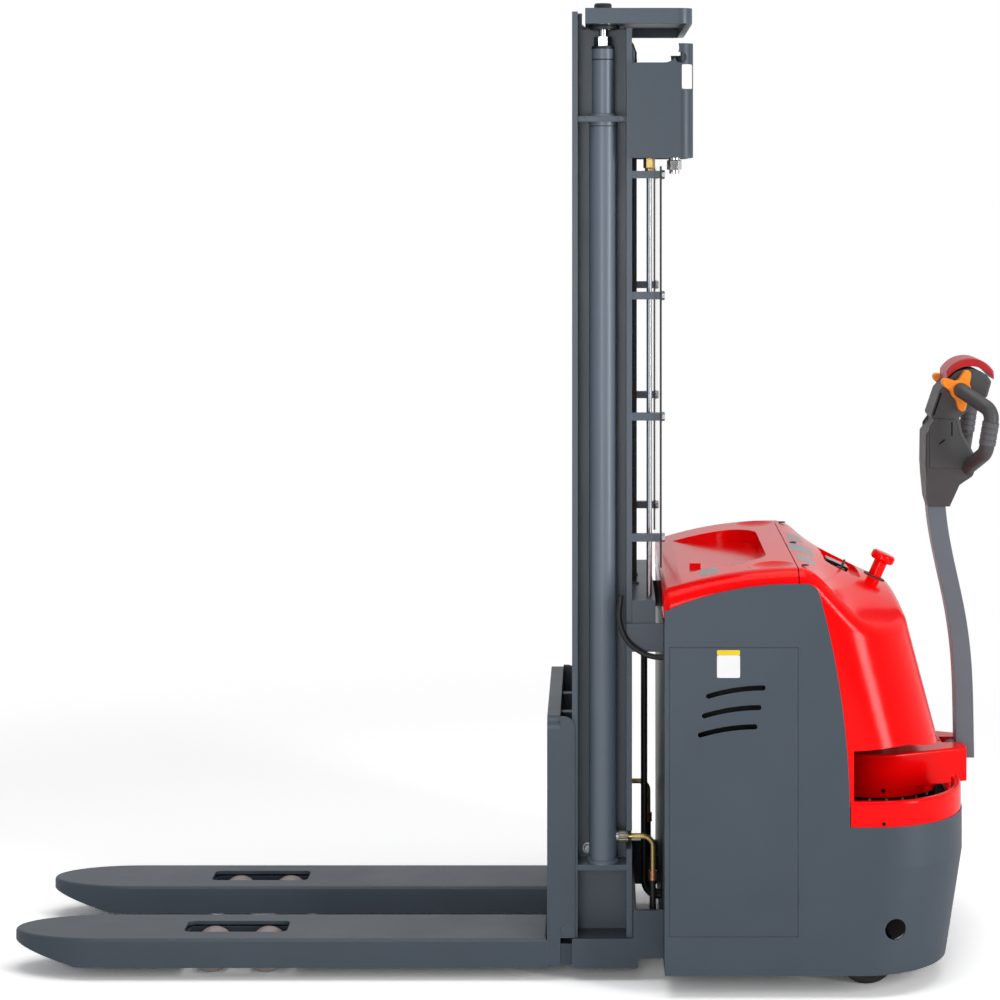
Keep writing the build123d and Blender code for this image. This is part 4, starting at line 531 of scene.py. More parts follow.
def prism(shape, outline, spot, low, high, bevel=0.0):
    """Raise an outline in mm between two heights, its top drawn in by a bevel; spot places (u, v, height)."""
    middle = sum((Vector(point) for point in outline), Vector((0, 0))) / len(outline)
    reach = sum((Vector(point) - middle).length for point in outline) / len(outline)
    drawn = [middle + (Vector(point) - middle) * (1 - bevel / reach) for point in outline]
    levels = [(outline, low), (outline, high - bevel)] + ([(drawn, high)] if bevel else [])
    layers = []
    for points, height in levels:
        layers.append([shape.verts.new(Vector(spot(*point, height)) * MM) for point in points])
    for cap in (layers[0], layers[-1]):
        shape.faces.new(cap)
    for lower, upper in zip(layers, layers[1:]):
        for i in range(len(outline)):
            j = (i + 1) % len(outline)
            shape.faces.new((lower[i], lower[j], upper[j], upper[i]))


def raised(name, prisms, finish, body):
    """One piece from several raised outlines, each (outline, spot, low, high, bevel)."""
    shape = bmesh.new()
    for solid in prisms:
        prism(shape, *solid)
    return add_piece(name, close_shape(shape, name), finish, body)


def stroke(start, end, width, steps=6):
    """The outline of a slit with round ends."""
    lean = atan2(end[1] - start[1], end[0] - start[0])
    outline = []
    for centre, first in ((end, lean - pi / 2), (start, lean + pi / 2)):
        for i in range(steps + 1):
            angle = first + pi * i / steps
            outline.append((centre[0] + width / 2 * cos(angle), centre[1] + width / 2 * sin(angle)))
    return outline


# Geometry node trees for what repeats
def geometry_tree(name, sizes):
    """A new tree that takes geometry, a finish and named sizes, and the sockets that give them."""
    tree = bpy.data.node_groups.new(name, "GeometryNodeTree")
    tree.interface.new_socket("Geometry", in_out="OUTPUT", socket_type="NodeSocketGeometry")
    tree.interface.new_socket("Geometry", in_out="INPUT", socket_type="NodeSocketGeometry")
    tree.interface.new_socket("Finish", in_out="INPUT", socket_type="NodeSocketMaterial")
    for size, kind in sizes.items():
        tree.interface.new_socket(size, in_out="INPUT", socket_type="NodeSocket" + kind)
    return tree, add_node(tree, "NodeGroupInput").outputs


def end_tree(tree, given, instances):
    """Realize what the tree made, give it the finish and send it out."""
    real = add_node(tree, "GeometryNodeRealizeInstances", {"Geometry": instances})
    painted = add_node(
        tree, "GeometryNodeSetMaterial", {"Geometry": real.outputs[0], "Material": given["Finish"]}
    )
    add_node(tree, "NodeGroupOutput", {"Geometry": painted.outputs[0]})


def math(tree, operation, a, b):
    """The result of one sum on two numbers or sockets."""
    return add_node(tree, "ShaderNodeMath", {0: a, 1: b}, operation=operation).outputs[0]


def moved(tree, geometry, **distance):
    """A geometry moved along the axes that are named."""
    shift = add_node(tree, "ShaderNodeCombineXYZ", distance).outputs[0]
    return add_node(tree, "GeometryNodeTransform", {"Geometry": geometry, "Translation": shift}).outputs[0]


def joined(tree, *geometries):
    """Several geometries as one."""
    whole = add_node(tree, "GeometryNodeJoinGeometry")
    for geometry in geometries:
        tree.links.new(geometry, whole.inputs[0])
    return whole.outputs[0]


def grown(name, seed, tree, finish, sizes, body):
    """The mesh that a tree makes from a seed mesh, as a plain piece."""
    sprout = bpy.data.objects.new(name + "_seed", seed)
    bpy.context.scene.collection.objects.link(sprout)
    growth = sprout.modifiers.new("growth", "NODES")
    growth.node_group = tree
    for socket in tree.interface.items_tree:
        if socket.in_out == "INPUT" and socket.name in sizes:
            growth[socket.identifier] = sizes[socket.name]
        elif socket.in_out == "INPUT" and socket.name == "Finish":
            growth[socket.identifier] = finish
    made = bpy.data.meshes.new_from_object(sprout.evaluated_get(bpy.context.evaluated_depsgraph_get()))
    sprout.modifiers.remove(growth)
    bpy.data.objects.remove(sprout)
    shape = bmesh.new()
    shape.from_mesh(made)
    return add_piece(name, close_shape(shape, name), finish, body)


HEAD_CHAMFER = 0.25  # share of a head's height
HEAD_CROWN = 0.86  # share of its width that is left above the chamfer
WASHER_SIDES = 32


def fastener_tree():
    """Bolts and screws: a chamfered head with any number of sides, a recess and a washer."""
    tree, given = geometry_tree(
        "fasteners",
        {"Sides": "Int", "Head Radius": "Float", "Head Height": "Float", "Recess Share": "Float",
         "Recess Depth": "Float", "Washer Radius": "Float", "Washer Height": "Float"},
    )

    def pulled(mesh, selection, height):
        return add_node(
            tree, "GeometryNodeExtrudeMesh",
            {"Mesh": mesh, "Selection": selection, "Offset Scale": height, "Individual": False},
        ).outputs

    def narrowed(mesh, selection, share):
        return add_node(
            tree, "GeometryNodeScaleElements", {"Geometry": mesh, "Selection": selection, "Scale": share}
        ).outputs[0]

    def closed(rim, top):
        under = add_node(tree, "GeometryNodeFlipFaces", {"Mesh": rim})
        return joined(tree, under.outputs[0], top)

    rim = add_node(
        tree, "GeometryNodeMeshCircle",
        {"Vertices": given["Sides"], "Radius": given["Head Radius"]}, fill_type="NGON",
    ).outputs[0]
    sides = pulled(rim, True, math(tree, "MULTIPLY", given["Head Height"], 1 - HEAD_CHAMFER))
    chamfer = pulled(sides["Mesh"], sides["Top"], math(tree, "MULTIPLY", given["Head Height"], HEAD_CHAMFER))
    crown = narrowed(chamfer["Mesh"], chamfer["Top"], HEAD_CROWN)
    inset = pulled(crown, chamfer["Top"], 0.0)
    mouth = narrowed(inset["Mesh"], inset["Top"], given["Recess Share"])
    floor = pulled(mouth, inset["Top"], math(tree, "MULTIPLY", given["Recess Depth"], -1.0))
    head = moved(tree, closed(rim, floor["Mesh"]), Z=given["Washer Height"])
    washer_rim = add_node(
        tree, "GeometryNodeMeshCircle",
        {"Vertices": WASHER_SIDES, "Radius": given["Washer Radius"]}, fill_type="NGON",
    ).outputs[0]
    washer = closed(washer_rim, pulled(washer_rim, True, given["Washer Height"])["Mesh"])
    way = add_node(
        tree, "GeometryNodeInputNamedAttribute", {"Name": "facing"}, data_type="FLOAT_VECTOR"
    ).outputs[0]
    turn = add_node(tree, "FunctionNodeAlignRotationToVector", {"Vector": way}, axis="Z").outputs[0]
    placed = add_node(
        tree, "GeometryNodeInstanceOnPoints",
        {"Points": given["Geometry"], "Instance": joined(tree, head, washer), "Rotation": turn},
    )
    end_tree(tree, given, placed.outputs[0])
    return tree


def bolts(name, spots, head, finish, body, washer=(0.0, 0.0), sides=6, recess=(0.5, 0.0)):
    """Fasteners at spots of (place in mm, facing).

    Head and washer are (radius, height) in mm, and recess is (share of the head's width, depth in mm).
    """
    seed = bpy.data.meshes.new(name)
    seed.from_pydata([Vector(place) * MM for place, _ in spots], [], [])
    ways = seed.attributes.new("facing", "FLOAT_VECTOR", "POINT")
    for row, (_, way) in zip(ways.data, spots):
        row.vector = way
    sizes = {
        "Sides": sides, "Head Radius": head[0] * MM, "Head Height": head[1] * MM, "Recess Share": recess[0],
        "Recess Depth": recess[1] * MM, "Washer Radius": washer[0] * MM, "Washer Height": washer[1] * MM,
    }
    return grown(name, seed, FASTENERS, finish, sizes, body)


WIDE_PACK = 4
NARROW_PACK = 3
PLATE_FILL = 0.94  # share of its place that a plate takes
PLATE_SIDES = 10
PIN_SIDES = 8


def leaf_chain_tree():
    """A leaf chain along a path: wide and narrow packs of plates take turns, with a pin at each joint."""
    tree, given = geometry_tree(
        "leaf_chain", {"Pitch": "Float", "Plate Height": "Float", "Width": "Float", "Pin Radius": "Float"}
    )
    step = math(tree, "DIVIDE", given["Width"], WIDE_PACK + NARROW_PACK)
    half_pitch = math(tree, "MULTIPLY", given["Pitch"], 0.5)

    def bar(radius, length, sides):
        made = add_node(
            tree, "GeometryNodeMeshCylinder", {"Vertices": sides, "Radius": radius, "Depth": length}
        ).outputs["Mesh"]
        return add_node(
            tree, "GeometryNodeTransform", {"Geometry": made, "Rotation": (pi / 2, 0, 0)}
        ).outputs[0]

    half_height = math(tree, "MULTIPLY", given["Plate Height"], 0.5)
    eye = bar(half_height, math(tree, "MULTIPLY", step, PLATE_FILL), PLATE_SIDES)
    eyes = joined(
        tree, moved(tree, eye, X=half_pitch), moved(tree, eye, X=math(tree, "MULTIPLY", half_pitch, -1.0))
    )
    plate = add_node(tree, "GeometryNodeConvexHull", {"Geometry": eyes}).outputs[0]
    pin = moved(tree, bar(given["Pin Radius"], given["Width"], PIN_SIDES), X=half_pitch)

    def pack(count):
        first = add_node(
            tree, "ShaderNodeCombineXYZ", {"Y": math(tree, "MULTIPLY", step, 1.0 - count)}
        ).outputs[0]
        gap = add_node(tree, "ShaderNodeCombineXYZ", {"Y": math(tree, "MULTIPLY", step, 2.0)}).outputs[0]
        row = add_node(
            tree, "GeometryNodeMeshLine", {"Count": count, "Start Location": first, "Offset": gap}
        ).outputs[0]
        plates = add_node(tree, "GeometryNodeInstanceOnPoints", {"Points": row, "Instance": plate}).outputs[0]
        return joined(tree, plates, pin)

    curve = add_node(tree, "GeometryNodeMeshToCurve", {"Mesh": given["Geometry"]}).outputs[0]
    joints = add_node(
        tree, "GeometryNodeCurveToPoints", {"Curve": curve, "Length": given["Pitch"]}, mode="LENGTH"
    ).outputs
    level = add_node(
        tree, "FunctionNodeAlignRotationToVector", {"Vector": joints["Tangent"]}, axis="X"
    ).outputs[0]
    turn = add_node(
        tree, "FunctionNodeAlignRotationToVector",
        {"Rotation": level, "Vector": (0, 1, 0)}, axis="Y", pivot_axis="X",
    ).outputs[0]
    index = add_node(tree, "GeometryNodeInputIndex").outputs[0]
    odd = math(tree, "MODULO", index, 2.0)
    packs = []
    for count, chosen in ((WIDE_PACK, odd), (NARROW_PACK, math(tree, "SUBTRACT", 1.0, odd))):
        links = add_node(
            tree, "GeometryNodeInstanceOnPoints",
            {"Points": joints["Points"], "Selection": chosen, "Instance": pack(count), "Rotation": turn},
        )
        packs.append(links.outputs[0])
    end_tree(tree, given, joined(tree, *packs))
    return tree


CHAIN_PITCH = 15.875
CHAIN_PLATE_HEIGHT = 11.8
CHAIN_WIDTH = 14.8
CHAIN_PIN_R = 2.6


def chain(name, paths, node, body):
    """Chain links along paths of points in mm, standing for the plain strap of the frame."""
    points = [Vector(point) * MM for path in paths for point in path]
    edges, first = [], 0
    for path in paths:
        edges += [(first + i, first + i + 1) for i in range(len(path) - 1)]
        first += len(path)
    seed = bpy.data.meshes.new(name)
    seed.from_pydata(points, edges, [])
    sizes = {
        "Pitch": CHAIN_PITCH * MM,
        "Plate Height": CHAIN_PLATE_HEIGHT * MM,
        "Width": CHAIN_WIDTH * MM,
        "Pin Radius": CHAIN_PIN_R * MM,
    }
    piece = grown(name, seed, LEAF_CHAIN, CHAIN, sizes, body)
    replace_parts(piece, node)
    return piece


def surface_of(node):
    """A search tree over a frame node's surface."""
    shape = bmesh.new()
    shape.from_mesh(NODES[node].data)
    tree = BVHTree.FromBMesh(shape)
    shape.free()
    return tree


LABEL_CELLS = 12
LABEL_HEIGHTS = (0.05, 0.2)  # underside and face above the surface
LABEL_DROP = 60  # the grid starts this far out
LABEL_REACH = 200  # and is dropped this far at most


def label(name, node, centre, size, direction, finish, body, corner=3.0):
    """A blank plate laid on a node's surface: its grid is dropped on it, and it gets a thickness."""
    shape = bmesh.new()
    towards = Vector(direction)
    side = Vector(REARWARD)
    up = towards.cross(side)
    surface = surface_of(node)
    half = (size[0] / 2, size[1] / 2)
    cells = LABEL_CELLS
    rows = []
    for i in range(cells + 1):
        rows.append([])
        for j in range(cells + 1):
            spot = [half[0] * (2 * i / cells - 1), half[1] * (2 * j / cells - 1)]
            past = [max(abs(spot[k]) - (half[k] - corner), 0) for k in (0, 1)]
            if past[0] and past[1]:
                pull = max(past) / hypot(*past)
                for k in (0, 1):
                    sign = 1 if spot[k] > 0 else -1
                    spot[k] = sign * (half[k] - corner + past[k] * pull)
            above = (Vector(centre) + side * spot[0] + up * spot[1] + towards * LABEL_DROP) * MM
            hit, normal, _, _ = surface.ray_cast(above, -towards, LABEL_REACH * MM)
            rows[-1].append((hit, normal if normal.dot(towards) > 0 else -normal))
    low, high = [
        [[shape.verts.new(hit + normal * lift * MM) for hit, normal in row] for row in rows]
        for lift in LABEL_HEIGHTS
    ]
    for layer in (low, high):
        for i in range(cells):
            for j in range(cells):
                shape.faces.new((layer[i][j], layer[i + 1][j], layer[i + 1][j + 1], layer[i][j + 1]))
    rim = [(i, 0) for i in range(cells)] + [(cells, j) for j in range(cells)]
    rim += [(i, cells) for i in range(cells, 0, -1)] + [(0, j) for j in range(cells, 0, -1)]
    for (a, b), (c, d) in zip(rim, rim[1:] + rim[:1]):
        shape.faces.new((low[a][b], low[c][d], high[c][d], high[a][b]))
    return add_piece(name, close_shape(shape, name), finish, body)


FASTENERS = fastener_tree()
LEAF_CHAIN = leaf_chain_tree()

# Chains: the links stand for the straps, and the strands follow the mast and the carriage
CHAIN_Y = 60
CHAIN_BEND_R = 50
BEND_STEPS = 24
SHEAVE = (220, 1978)  # x and z of the axle
FRONT_STRAND_X = SHEAVE[0] - CHAIN_BEND_R
REAR_STRAND_X = SHEAVE[0] + CHAIN_BEND_R
REAR_ANCHOR_Z = 815
FRONT_ANCHOR_Z = 450


def strand(x, low, high):
    """The two straight paths of a chain, one on each side."""
    return [((x, s * CHAIN_Y, low), (x, s * CHAIN_Y, high)) for _, s in SIDES]


def wrap():
    """The two paths over the sheaves."""
    x, z = SHEAVE
    bends = [pi * i / BEND_STEPS for i in range(BEND_STEPS + 1)]
    return [
        [(x - CHAIN_BEND_R * cos(a), s * CHAIN_Y, z + CHAIN_BEND_R * sin(a)) for a in bends] for _, s in SIDES
    ]


def leaf_chains():
    """The links of the rear strand, the front strand and the bends over the sheaves."""
    top_z = SHEAVE[1]
    rear = chain("chain_links_rear", strand(REAR_STRAND_X, REAR_ANCHOR_Z, top_z), "chain_rear", None)
    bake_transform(rear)
    front = chain("chain_links_front", strand(FRONT_STRAND_X, FRONT_ANCHOR_Z, top_z), "chain_front", None)
    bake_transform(front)
    chain("chain_links_wrap", wrap(), "chain_wraps", "inner_mast")


# Cylinder fittings: profiles of (radius, height), and places on the near or far side
HEX = 6
CYLINDER = (200, 243)  # x and y of the axis
ROD_CAP = ((0, 2072), (19, 2072), (19, 2080.4), (17.5, 2082.8), (14, 2083.7), (0, 2084))
RUBBER_DISC = (
    (10, 2027.6), (27.6, 2027.6), (28.9, 2029.5), (29.2, 2033), (28.9, 2036.8), (27.6, 2038.9), (10, 2038.9)
)
GLAND_SEALS = (ring(17.2, 23.9, 1986, 1992.4), ring(22, 23.8, 1962, 1965), ring(28, 29.8, 1820, 1822))
FOOT_BEAD = ((28, 245), (35, 245), (34.4, 248), (32.5, 250.6), (30, 252), (28, 252))
HEAD_BEAD = ((27, 1841), (29.9, 1841), (29.7, 1843.4), (27.4, 1846.5), (23, 1848), (23, 1841))
PORT = (254, 298)  # x and z
PORT_NUT = hexagon(12.6, -20.2, 0.4, 6.05)
PORT_BOSS = ring(9, 11, -26, -20)
FERRULE = (307, 204)  # x and z
FERRULE_BORE_R = 6.2
FERRULE_R = 9.6
FERRULE_GROOVE_R = 9.1
FOOT_BOLT = (168, 210, 264)


def crimped_ferrule():
    """The profile of a ferrule with three crimped grooves and eased ends."""
    profile = [(FERRULE_BORE_R, 0), (9.2, 0), (FERRULE_R, 1)]
    for start in (4, 9, 14):
        profile.append((FERRULE_R, start))
        profile += [(FERRULE_GROOVE_R, start + 1), (FERRULE_GROOVE_R, start + 2)]
        profile.append((FERRULE_R, start + 3))
    return profile + [(FERRULE_R, 19), (9.0, 20.4), (FERRULE_BORE_R, 20.4)]


def cylinder_fittings():
    """Cap, rubber disc, gland rings, weld beads, unions and bolts at each lift cylinder."""
    caps, discs, seals, beads, unions, ferrules = [], [], [], [], [], []
    for _, s in SIDES:
        y = s * CYLINDER[1]
        axis = (CYLINDER[0], y, 0)
        caps.append((ROD_CAP, axis))
        discs.append((RUBBER_DISC, axis))
        seals += [(seal, axis) for seal in GLAND_SEALS]
        beads += [(bead, axis) for bead in (FOOT_BEAD, HEAD_BEAD)]
        port = (PORT[0], y, PORT[1])
        unions.append((PORT_NUT, port, REARWARD, HEX))
        unions.append((PORT_BOSS, port, REARWARD))
        ferrules.append((crimped_ferrule(), (FERRULE[0], y, FERRULE[1])))
    turned("crosshead_caps", caps, HOSE, "inner_mast")
    turned("rubber_discs", discs, HOSE, "inner_mast")
    turned("gland_seals", seals, HOSE, "chassis")
    turned("cylinder_weld_beads", beads, BARREL, "chassis")
    turned("port_unions", unions, ZINC, "chassis")
    turned("hose_ferrules", ferrules, COPPER, "chassis")
    foot = [((FOOT_BOLT[0], s * FOOT_BOLT[1], FOOT_BOLT[2]), (0, s, 0)) for _, s in SIDES]
    bolts("cylinder_foot_bolts", foot, (9.5, 7), ZINC, "chassis", washer=(12, 1.6))


# Mast fittings
TAB_COUNT = 4
TAB_LOW_Z = 942
TAB_HIGH_Z = 1717
GUARD_BOLT = (325, 266)  # x and y
GUARD_EDGE_SHADE = ((320.8, 283), (325.2, 283), (325.2, 284.3), (320.8, 284.3))
GUARD_LOW_Z = 880
GUARD_HIGH_Z = 1735
TIE_PORT = (353, -245, 0)
TIE_UNION_BORE_R = 5
RISER = (300, -215, 0)
RISER_R = 6.1


def mast_fittings():
    """Bolts, dark strips painted along the guard's edges as the shade its clear edges show, and unions under
    the upper tie.
    """
    tabs = [TAB_LOW_Z + i * (TAB_HIGH_Z - TAB_LOW_Z) / (TAB_COUNT - 1) for i in range(TAB_COUNT)]
    guard = [((GUARD_BOLT[0], s * GUARD_BOLT[1], z), REARWARD) for _, s in SIDES for z in tabs]
    bolts("guard_bolts", guard, (9.6, 6.4), ZINC, "chassis", washer=(11.5, 1.0))
    # Black strips along the clear sheet's edges: painted shade for the dark line its edges show
    edges = [
        (GUARD_EDGE_SHADE, lambda x, y, z, s=s: (x, s * y, z), GUARD_LOW_Z, GUARD_HIGH_Z) for _, s in SIDES
    ]
    raised("guard_edge_shades", edges, HOSE, "chassis")
    turned(
        "tie_union",
        [
            (hexagon(15.8, 1727, 1748, TIE_UNION_BORE_R), TIE_PORT, UP, HEX),
            (ring(TIE_UNION_BORE_R, 12.5, 1748, 1753.2), TIE_PORT),
            (ring(TIE_UNION_BORE_R, 11, 1719, 1727), TIE_PORT),
        ],
        CHROME, "chassis",
    )
    turned(
        "riser_nut",
        [(hexagon(12.8, 1730.6, 1753, RISER_R), RISER, UP, HEX), (ring(RISER_R, 9.5, 1724, 1730.6), RISER)],
        YELLOW, "chassis",
    )


# Body: screws, blank plates and the dash's rings
COVER_TOP_Z = 892
HOOD_SCREW = (627, 891.6)  # x and z
HOOD_SCREW_Y = (-325, 0, 325)
TOP_PLATES = (  # name, node, body, x and y from edge to edge
    ("cover_plate_long", "battery_cover", "cover_body", (405, 445), (-330, -180)),
    ("cover_plate_short", "battery_cover", "cover_body", (466, 505), (-255, -175)),
    ("hood_plate_right", "drive_hood", "chassis", (621, 655), (38, 147)),
    ("hood_plate_middle", "drive_hood", "chassis", (613, 666), (-128, -8)),
    ("hood_plate_left", "drive_hood", "chassis", (619, 658), (-254, -170)),
)
SIDE_PLATES = (  # name, node, finish, centre, size
    ("door_plate", "side_panels", WHITE, (461, -400, 692.5), (48, 47)),
    ("door_plate_band", "side_panels", LABEL_YELLOW, (461, -400, 721.5), (48, 10.6)),
    ("tie_plate", "mast_upper_tie", WHITE, (379, -283, 1926), (22, 52)),
)
SIDE_PLATE_CORNER = 2


def hood_fittings():
    """Screws along the hood's front edge, and blank plates on the covers, the side and the mast."""
    screws = [((HOOD_SCREW[0], y, HOOD_SCREW[1]), UP) for y in HOOD_SCREW_Y]
    bolts("hood_screws", screws, (8, 2.0), ENAMEL, "chassis", sides=28, recess=(0.5, 1.4))
    for name, node, body, x, y in TOP_PLATES:
        centre = ((x[0] + x[1]) / 2, (y[0] + y[1]) / 2, COVER_TOP_Z)
        label(name, node, centre, (x[1] - x[0], y[1] - y[0]), UP, FADED, body)
    for name, node, finish, centre, size in SIDE_PLATES:
        label(name, node, centre, size, NEAR, finish, "chassis", SIDE_PLATE_CORNER)


DASH_RUN = 210
DASH_DROP = 95
DASH_TILT = atan2(DASH_DROP, DASH_RUN)
DASH_NORMAL = (sin(DASH_TILT), 0, cos(DASH_TILT))
STOP_SEAT = (809, 0, 815.5)
KEY_PLACE = (730, -72, 851.3)
RECESS_DEPTH = 14


def dash_fittings():
    """A black gasket under the emergency stop, and the lock ring round the key."""
    gasket = (ring(15.3, 25, -3, 2.6, 1.2), STOP_SEAT, DASH_NORMAL)
    turned("stop_gasket", [gasket], HOSE, "chassis")
    floor = Vector(KEY_PLACE) - RECESS_DEPTH * Vector(DASH_NORMAL)
    lock = (ring(9.4, 15, 0, 2.4, 0.8), floor, DASH_NORMAL)
    turned("key_lock_ring", [lock], ZINC, "chassis")


# Drive: slewing ring, small holes, hubs and axle nuts
STEER_X = 802
SLEWING_R = 142
SLEWING_SIDES = 96
SLEWING_SCREWS = 24
SLEWING_SCREW_Z = 350
HEAD_SIDE_HOLE = (813, -146.7, 371)
HEAD_TOP_HOLE = (950, -8, 449.9)
COLLAR_HOLE = (785, 398, 364)
DRIVE_WHEEL_Z = 115
DRIVE_HUB = ((20.2, 25.6), (71, 25.6), (71, 28), (66, 30.5), (34, 30.5), (30, 34.5), (20.2, 34.5))
HUB_BOLT_R = 50
HUB_BOLT_Y = -30.4
HUB_BOLTS = 6
HUB_BOLT_TURN = radians(7.5)
CASTOR = (760, 280, 62.5)
CASTOR_NUT_OUT = 33


def drive_fittings():
    """The dark slewing ring with its screws under the head, black discs painted as the shade inside the holes
    in the head and collar, and the hub.
    """
    slewing = (ring(120.3, SLEWING_R, 331.5, 355.6, 1.5), (STEER_X, 0, 0), UP, SLEWING_SIDES)
    turned("slewing_ring", [slewing], ENAMEL, "steering")
    around = [2 * pi * (i + 0.5) / SLEWING_SCREWS for i in range(SLEWING_SCREWS)]
    screws = []
    for a in around:
        place = (STEER_X + SLEWING_R * cos(a), SLEWING_R * sin(a), SLEWING_SCREW_Z)
        screws.append((place, (cos(a), sin(a), 0)))
    bolts("slewing_screws", screws, (3.2, 2.4), ZINC, "steering", sides=12, recess=(0.5, 0.8))
    # Thin matt black discs: painted shade standing for the holes
    head_hole_shades = [(disc(5, 0.5), HEAD_SIDE_HOLE, NEAR), (disc(7, 0.4), HEAD_TOP_HOLE, UP)]
    turned("head_hole_shades", head_hole_shades, DARK, "steering")
    x, y, z = COLLAR_HOLE
    collar_hole_shades = [(disc(4, 0.4), (x, s * y, z), (0, s, 0)) for _, s in SIDES]
    turned("collar_hole_shades", collar_hole_shades, DARK, "chassis")
    hub = (DRIVE_HUB, (STEER_X, 0, DRIVE_WHEEL_Z), NEAR)
    turned("drive_hub", [hub], ENAMEL, "drive_wheel_body")
    nuts = []
    for i in range(HUB_BOLTS):
        a = HUB_BOLT_TURN + 2 * pi * i / HUB_BOLTS
        place = (STEER_X + HUB_BOLT_R * cos(a), HUB_BOLT_Y, DRIVE_WHEEL_Z + HUB_BOLT_R * sin(a))
        nuts.append((place, NEAR))
    bolts("drive_hub_bolts", nuts, (8, 5.5), ZINC, "drive_wheel_body", washer=(10, 1))


def castor_fittings():
    """Rims and axle nuts of both castors."""
    x, y, z = CASTOR
    for side, s in SIDES:
        rims = [(ring(7.2, 34, 24.9, 26.2), (x, s * y, z), (0, way, 0)) for way in (-1, 1)]
        turned(f"castor_rims_{side}", rims, ALLOY, f"castor_wheel_{side}_body")
        ends = [((x, s * y + way * CASTOR_NUT_OUT, z), (0, way, 0)) for way in (-1, 1)]
        body = f"castor_{side}"
        bolts(f"castor_nuts_{side}", ends, (10, 6), ZINC, body, washer=(12.5, 1.4))


# Tiller: console mouldings, grip sleeves and the thumb switch, as (x, z) from the pivot
PIVOT = (985, 422)  # x and z
HOUSING = ((-60, 735), (-46, 755), (-5, 752), (11, 716), (44, 658), (36, 643), (-60, 643))
HOUSING_OUT = (57.5, 60.6)
HOUSING_BEVEL = 1.6
SLITS = (  # outline, and how far out it starts and ends
    (stroke((-34, 809), (-50, 762), 4), 57.6, 58.3),
    (stroke((-10, 745), (-10, 716), 3), 60.2, 60.9),
    (stroke((-37, 698), (-27, 706), 3.5), 60.2, 60.9),
)
GRIP_TOP = (65, 778, 158)
GRIP_FOOT = (51, 688, 150)
SLEEVE_BORE_R = 16.7
SLEEVE_END_R = 17.6
SLEEVE_R = 18.4
SLEEVE_GROOVE_R = 17.2
SLEEVE_GROOVES = (35, 48, 61)
SWITCH = (7, 818)
SWITCH_BORE_R = 16.7
SWITCH_BEVEL = 2.4
SWITCH_SIDES = 120
FINGER_DEGREES = (152, 68, -86)
FINGER_ROOT_R = 23
FINGER_LENGTH = 24
FINGER_SPREAD = 0.36
FINGER_POWER = 2.4


def beside(s):
    """Places a point (x, z) from the tiller's pivot, some way out on one side."""
    return lambda x, z, out: (PIVOT[0] + x, s * out, PIVOT[1] + z)


def ribbed_sleeve():
    """The profile of a grip sleeve with three grooves and eased ends."""
    profile = [(SLEEVE_BORE_R, 23), (SLEEVE_END_R, 23), (SLEEVE_R, 24)]
    for groove in SLEEVE_GROOVES:
        profile += [(SLEEVE_R, groove - 1.5), (SLEEVE_GROOVE_R, groove - 0.8)]
        profile += [(SLEEVE_GROOVE_R, groove + 0.8), (SLEEVE_R, groove + 1.5)]
    return profile + [(SLEEVE_R, 73), (SLEEVE_END_R, 74), (SLEEVE_BORE_R, 74)]


def finger_star(angle):
    """The thumb switch's outline: three round-tipped fingers with hollow flanks between them."""
    away = min(abs((angle - radians(finger) + pi) % (2 * pi) - pi) for finger in FINGER_DEGREES)
    return FINGER_ROOT_R + FINGER_LENGTH * exp(-((away / FINGER_SPREAD) ** FINGER_POWER))


def thumb_switch(s):
    """The profile of one side's thumb switch, the far one mirrored, with bevelled edges."""
    def edge(angle):
        return finger_star(angle if s < 0 else pi - angle)

    def drawn(angle):
        return edge(angle) - SWITCH_BEVEL

    return (
        (SWITCH_BORE_R, 60.3), (drawn, 60.3), (edge, 62.7), (edge, 80.6), (drawn, 83.4), (SWITCH_BORE_R, 83.4)
    )


def tiller_fittings():
    """Mouldings on the console's sides with their slits painted on as black shade, ribbed sleeves on the
    grips and the orange thumb switches.
    """
    housings, cuts, sleeves, switches = [], [], [], []
    for _, s in SIDES:
        housings.append((HOUSING, beside(s), *HOUSING_OUT, HOUSING_BEVEL))
        cuts += [(outline, beside(s), low, high) for outline, low, high in SLITS]
        top = Vector(beside(s)(*GRIP_TOP))
        run = Vector(beside(s)(*GRIP_FOOT)) - top
        sleeves.append((ribbed_sleeve(), top, run))
        centre = (PIVOT[0] + SWITCH[0], 0, PIVOT[1] + SWITCH[1])
        switches.append((thumb_switch(s), centre, (0, s, 0), SWITCH_SIDES))
    raised("console_housings", housings, CONSOLE, "tiller")
    # The slits are thin black strips: painted shade for their unlit insides
    raised("console_slit_shades", cuts, DARK, "tiller")
    turned("grip_sleeves", sleeves, GRIP, "tiller")
    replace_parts(turned("thumb_switches", switches, ORANGE, "butterfly_body"), "butterfly")


leaf_chains()
cylinder_fittings()
mast_fittings()
hood_fittings()
dash_fittings()
drive_fittings()
castor_fittings()
tiller_fittings()


# Stage: pale floor, white background, soft studio light and the camera
AMBIENT = 0.28
ROOM_DEPTHS = (-0.8, 0.2)  # world direction along Y, from the near side of the room to the far side
ROOM_LEVELS = (0.3, 0.75)
FLOOR_COLOUR = linear("F4F4F4")
FLOOR_SEEN = (1.75, 1.75, 1.75, 1)
FLOOR_FADE = (1.5, 3.2)  # metres from the middle
FLOOR_R = 6.0
FLOOR_SIDES = 96
LAMPS = (  # name, place and aim in metres, size in metres, watts
    ("top_light", (0.2, -0.4, 4.6), (0.1, 0, 0.6), (4.0, 3.0), 80),
    ("front_light", (-0.6, -5.2, 1.4), (0.3, 0, 0.8), (1.6, 2.2), 68),
    ("front_right_light", (4.1, -2.9, 1.6), (0.3, 0, 1.1), (0.8, 3.0), 115),
)
CAMERA_PLACE = (0.183, -5.565, 1.714)
CAMERA_SENSOR = 36
CAMERA_LENS = 89.3
CAMERA_SHIFT = (-0.095, -0.324)


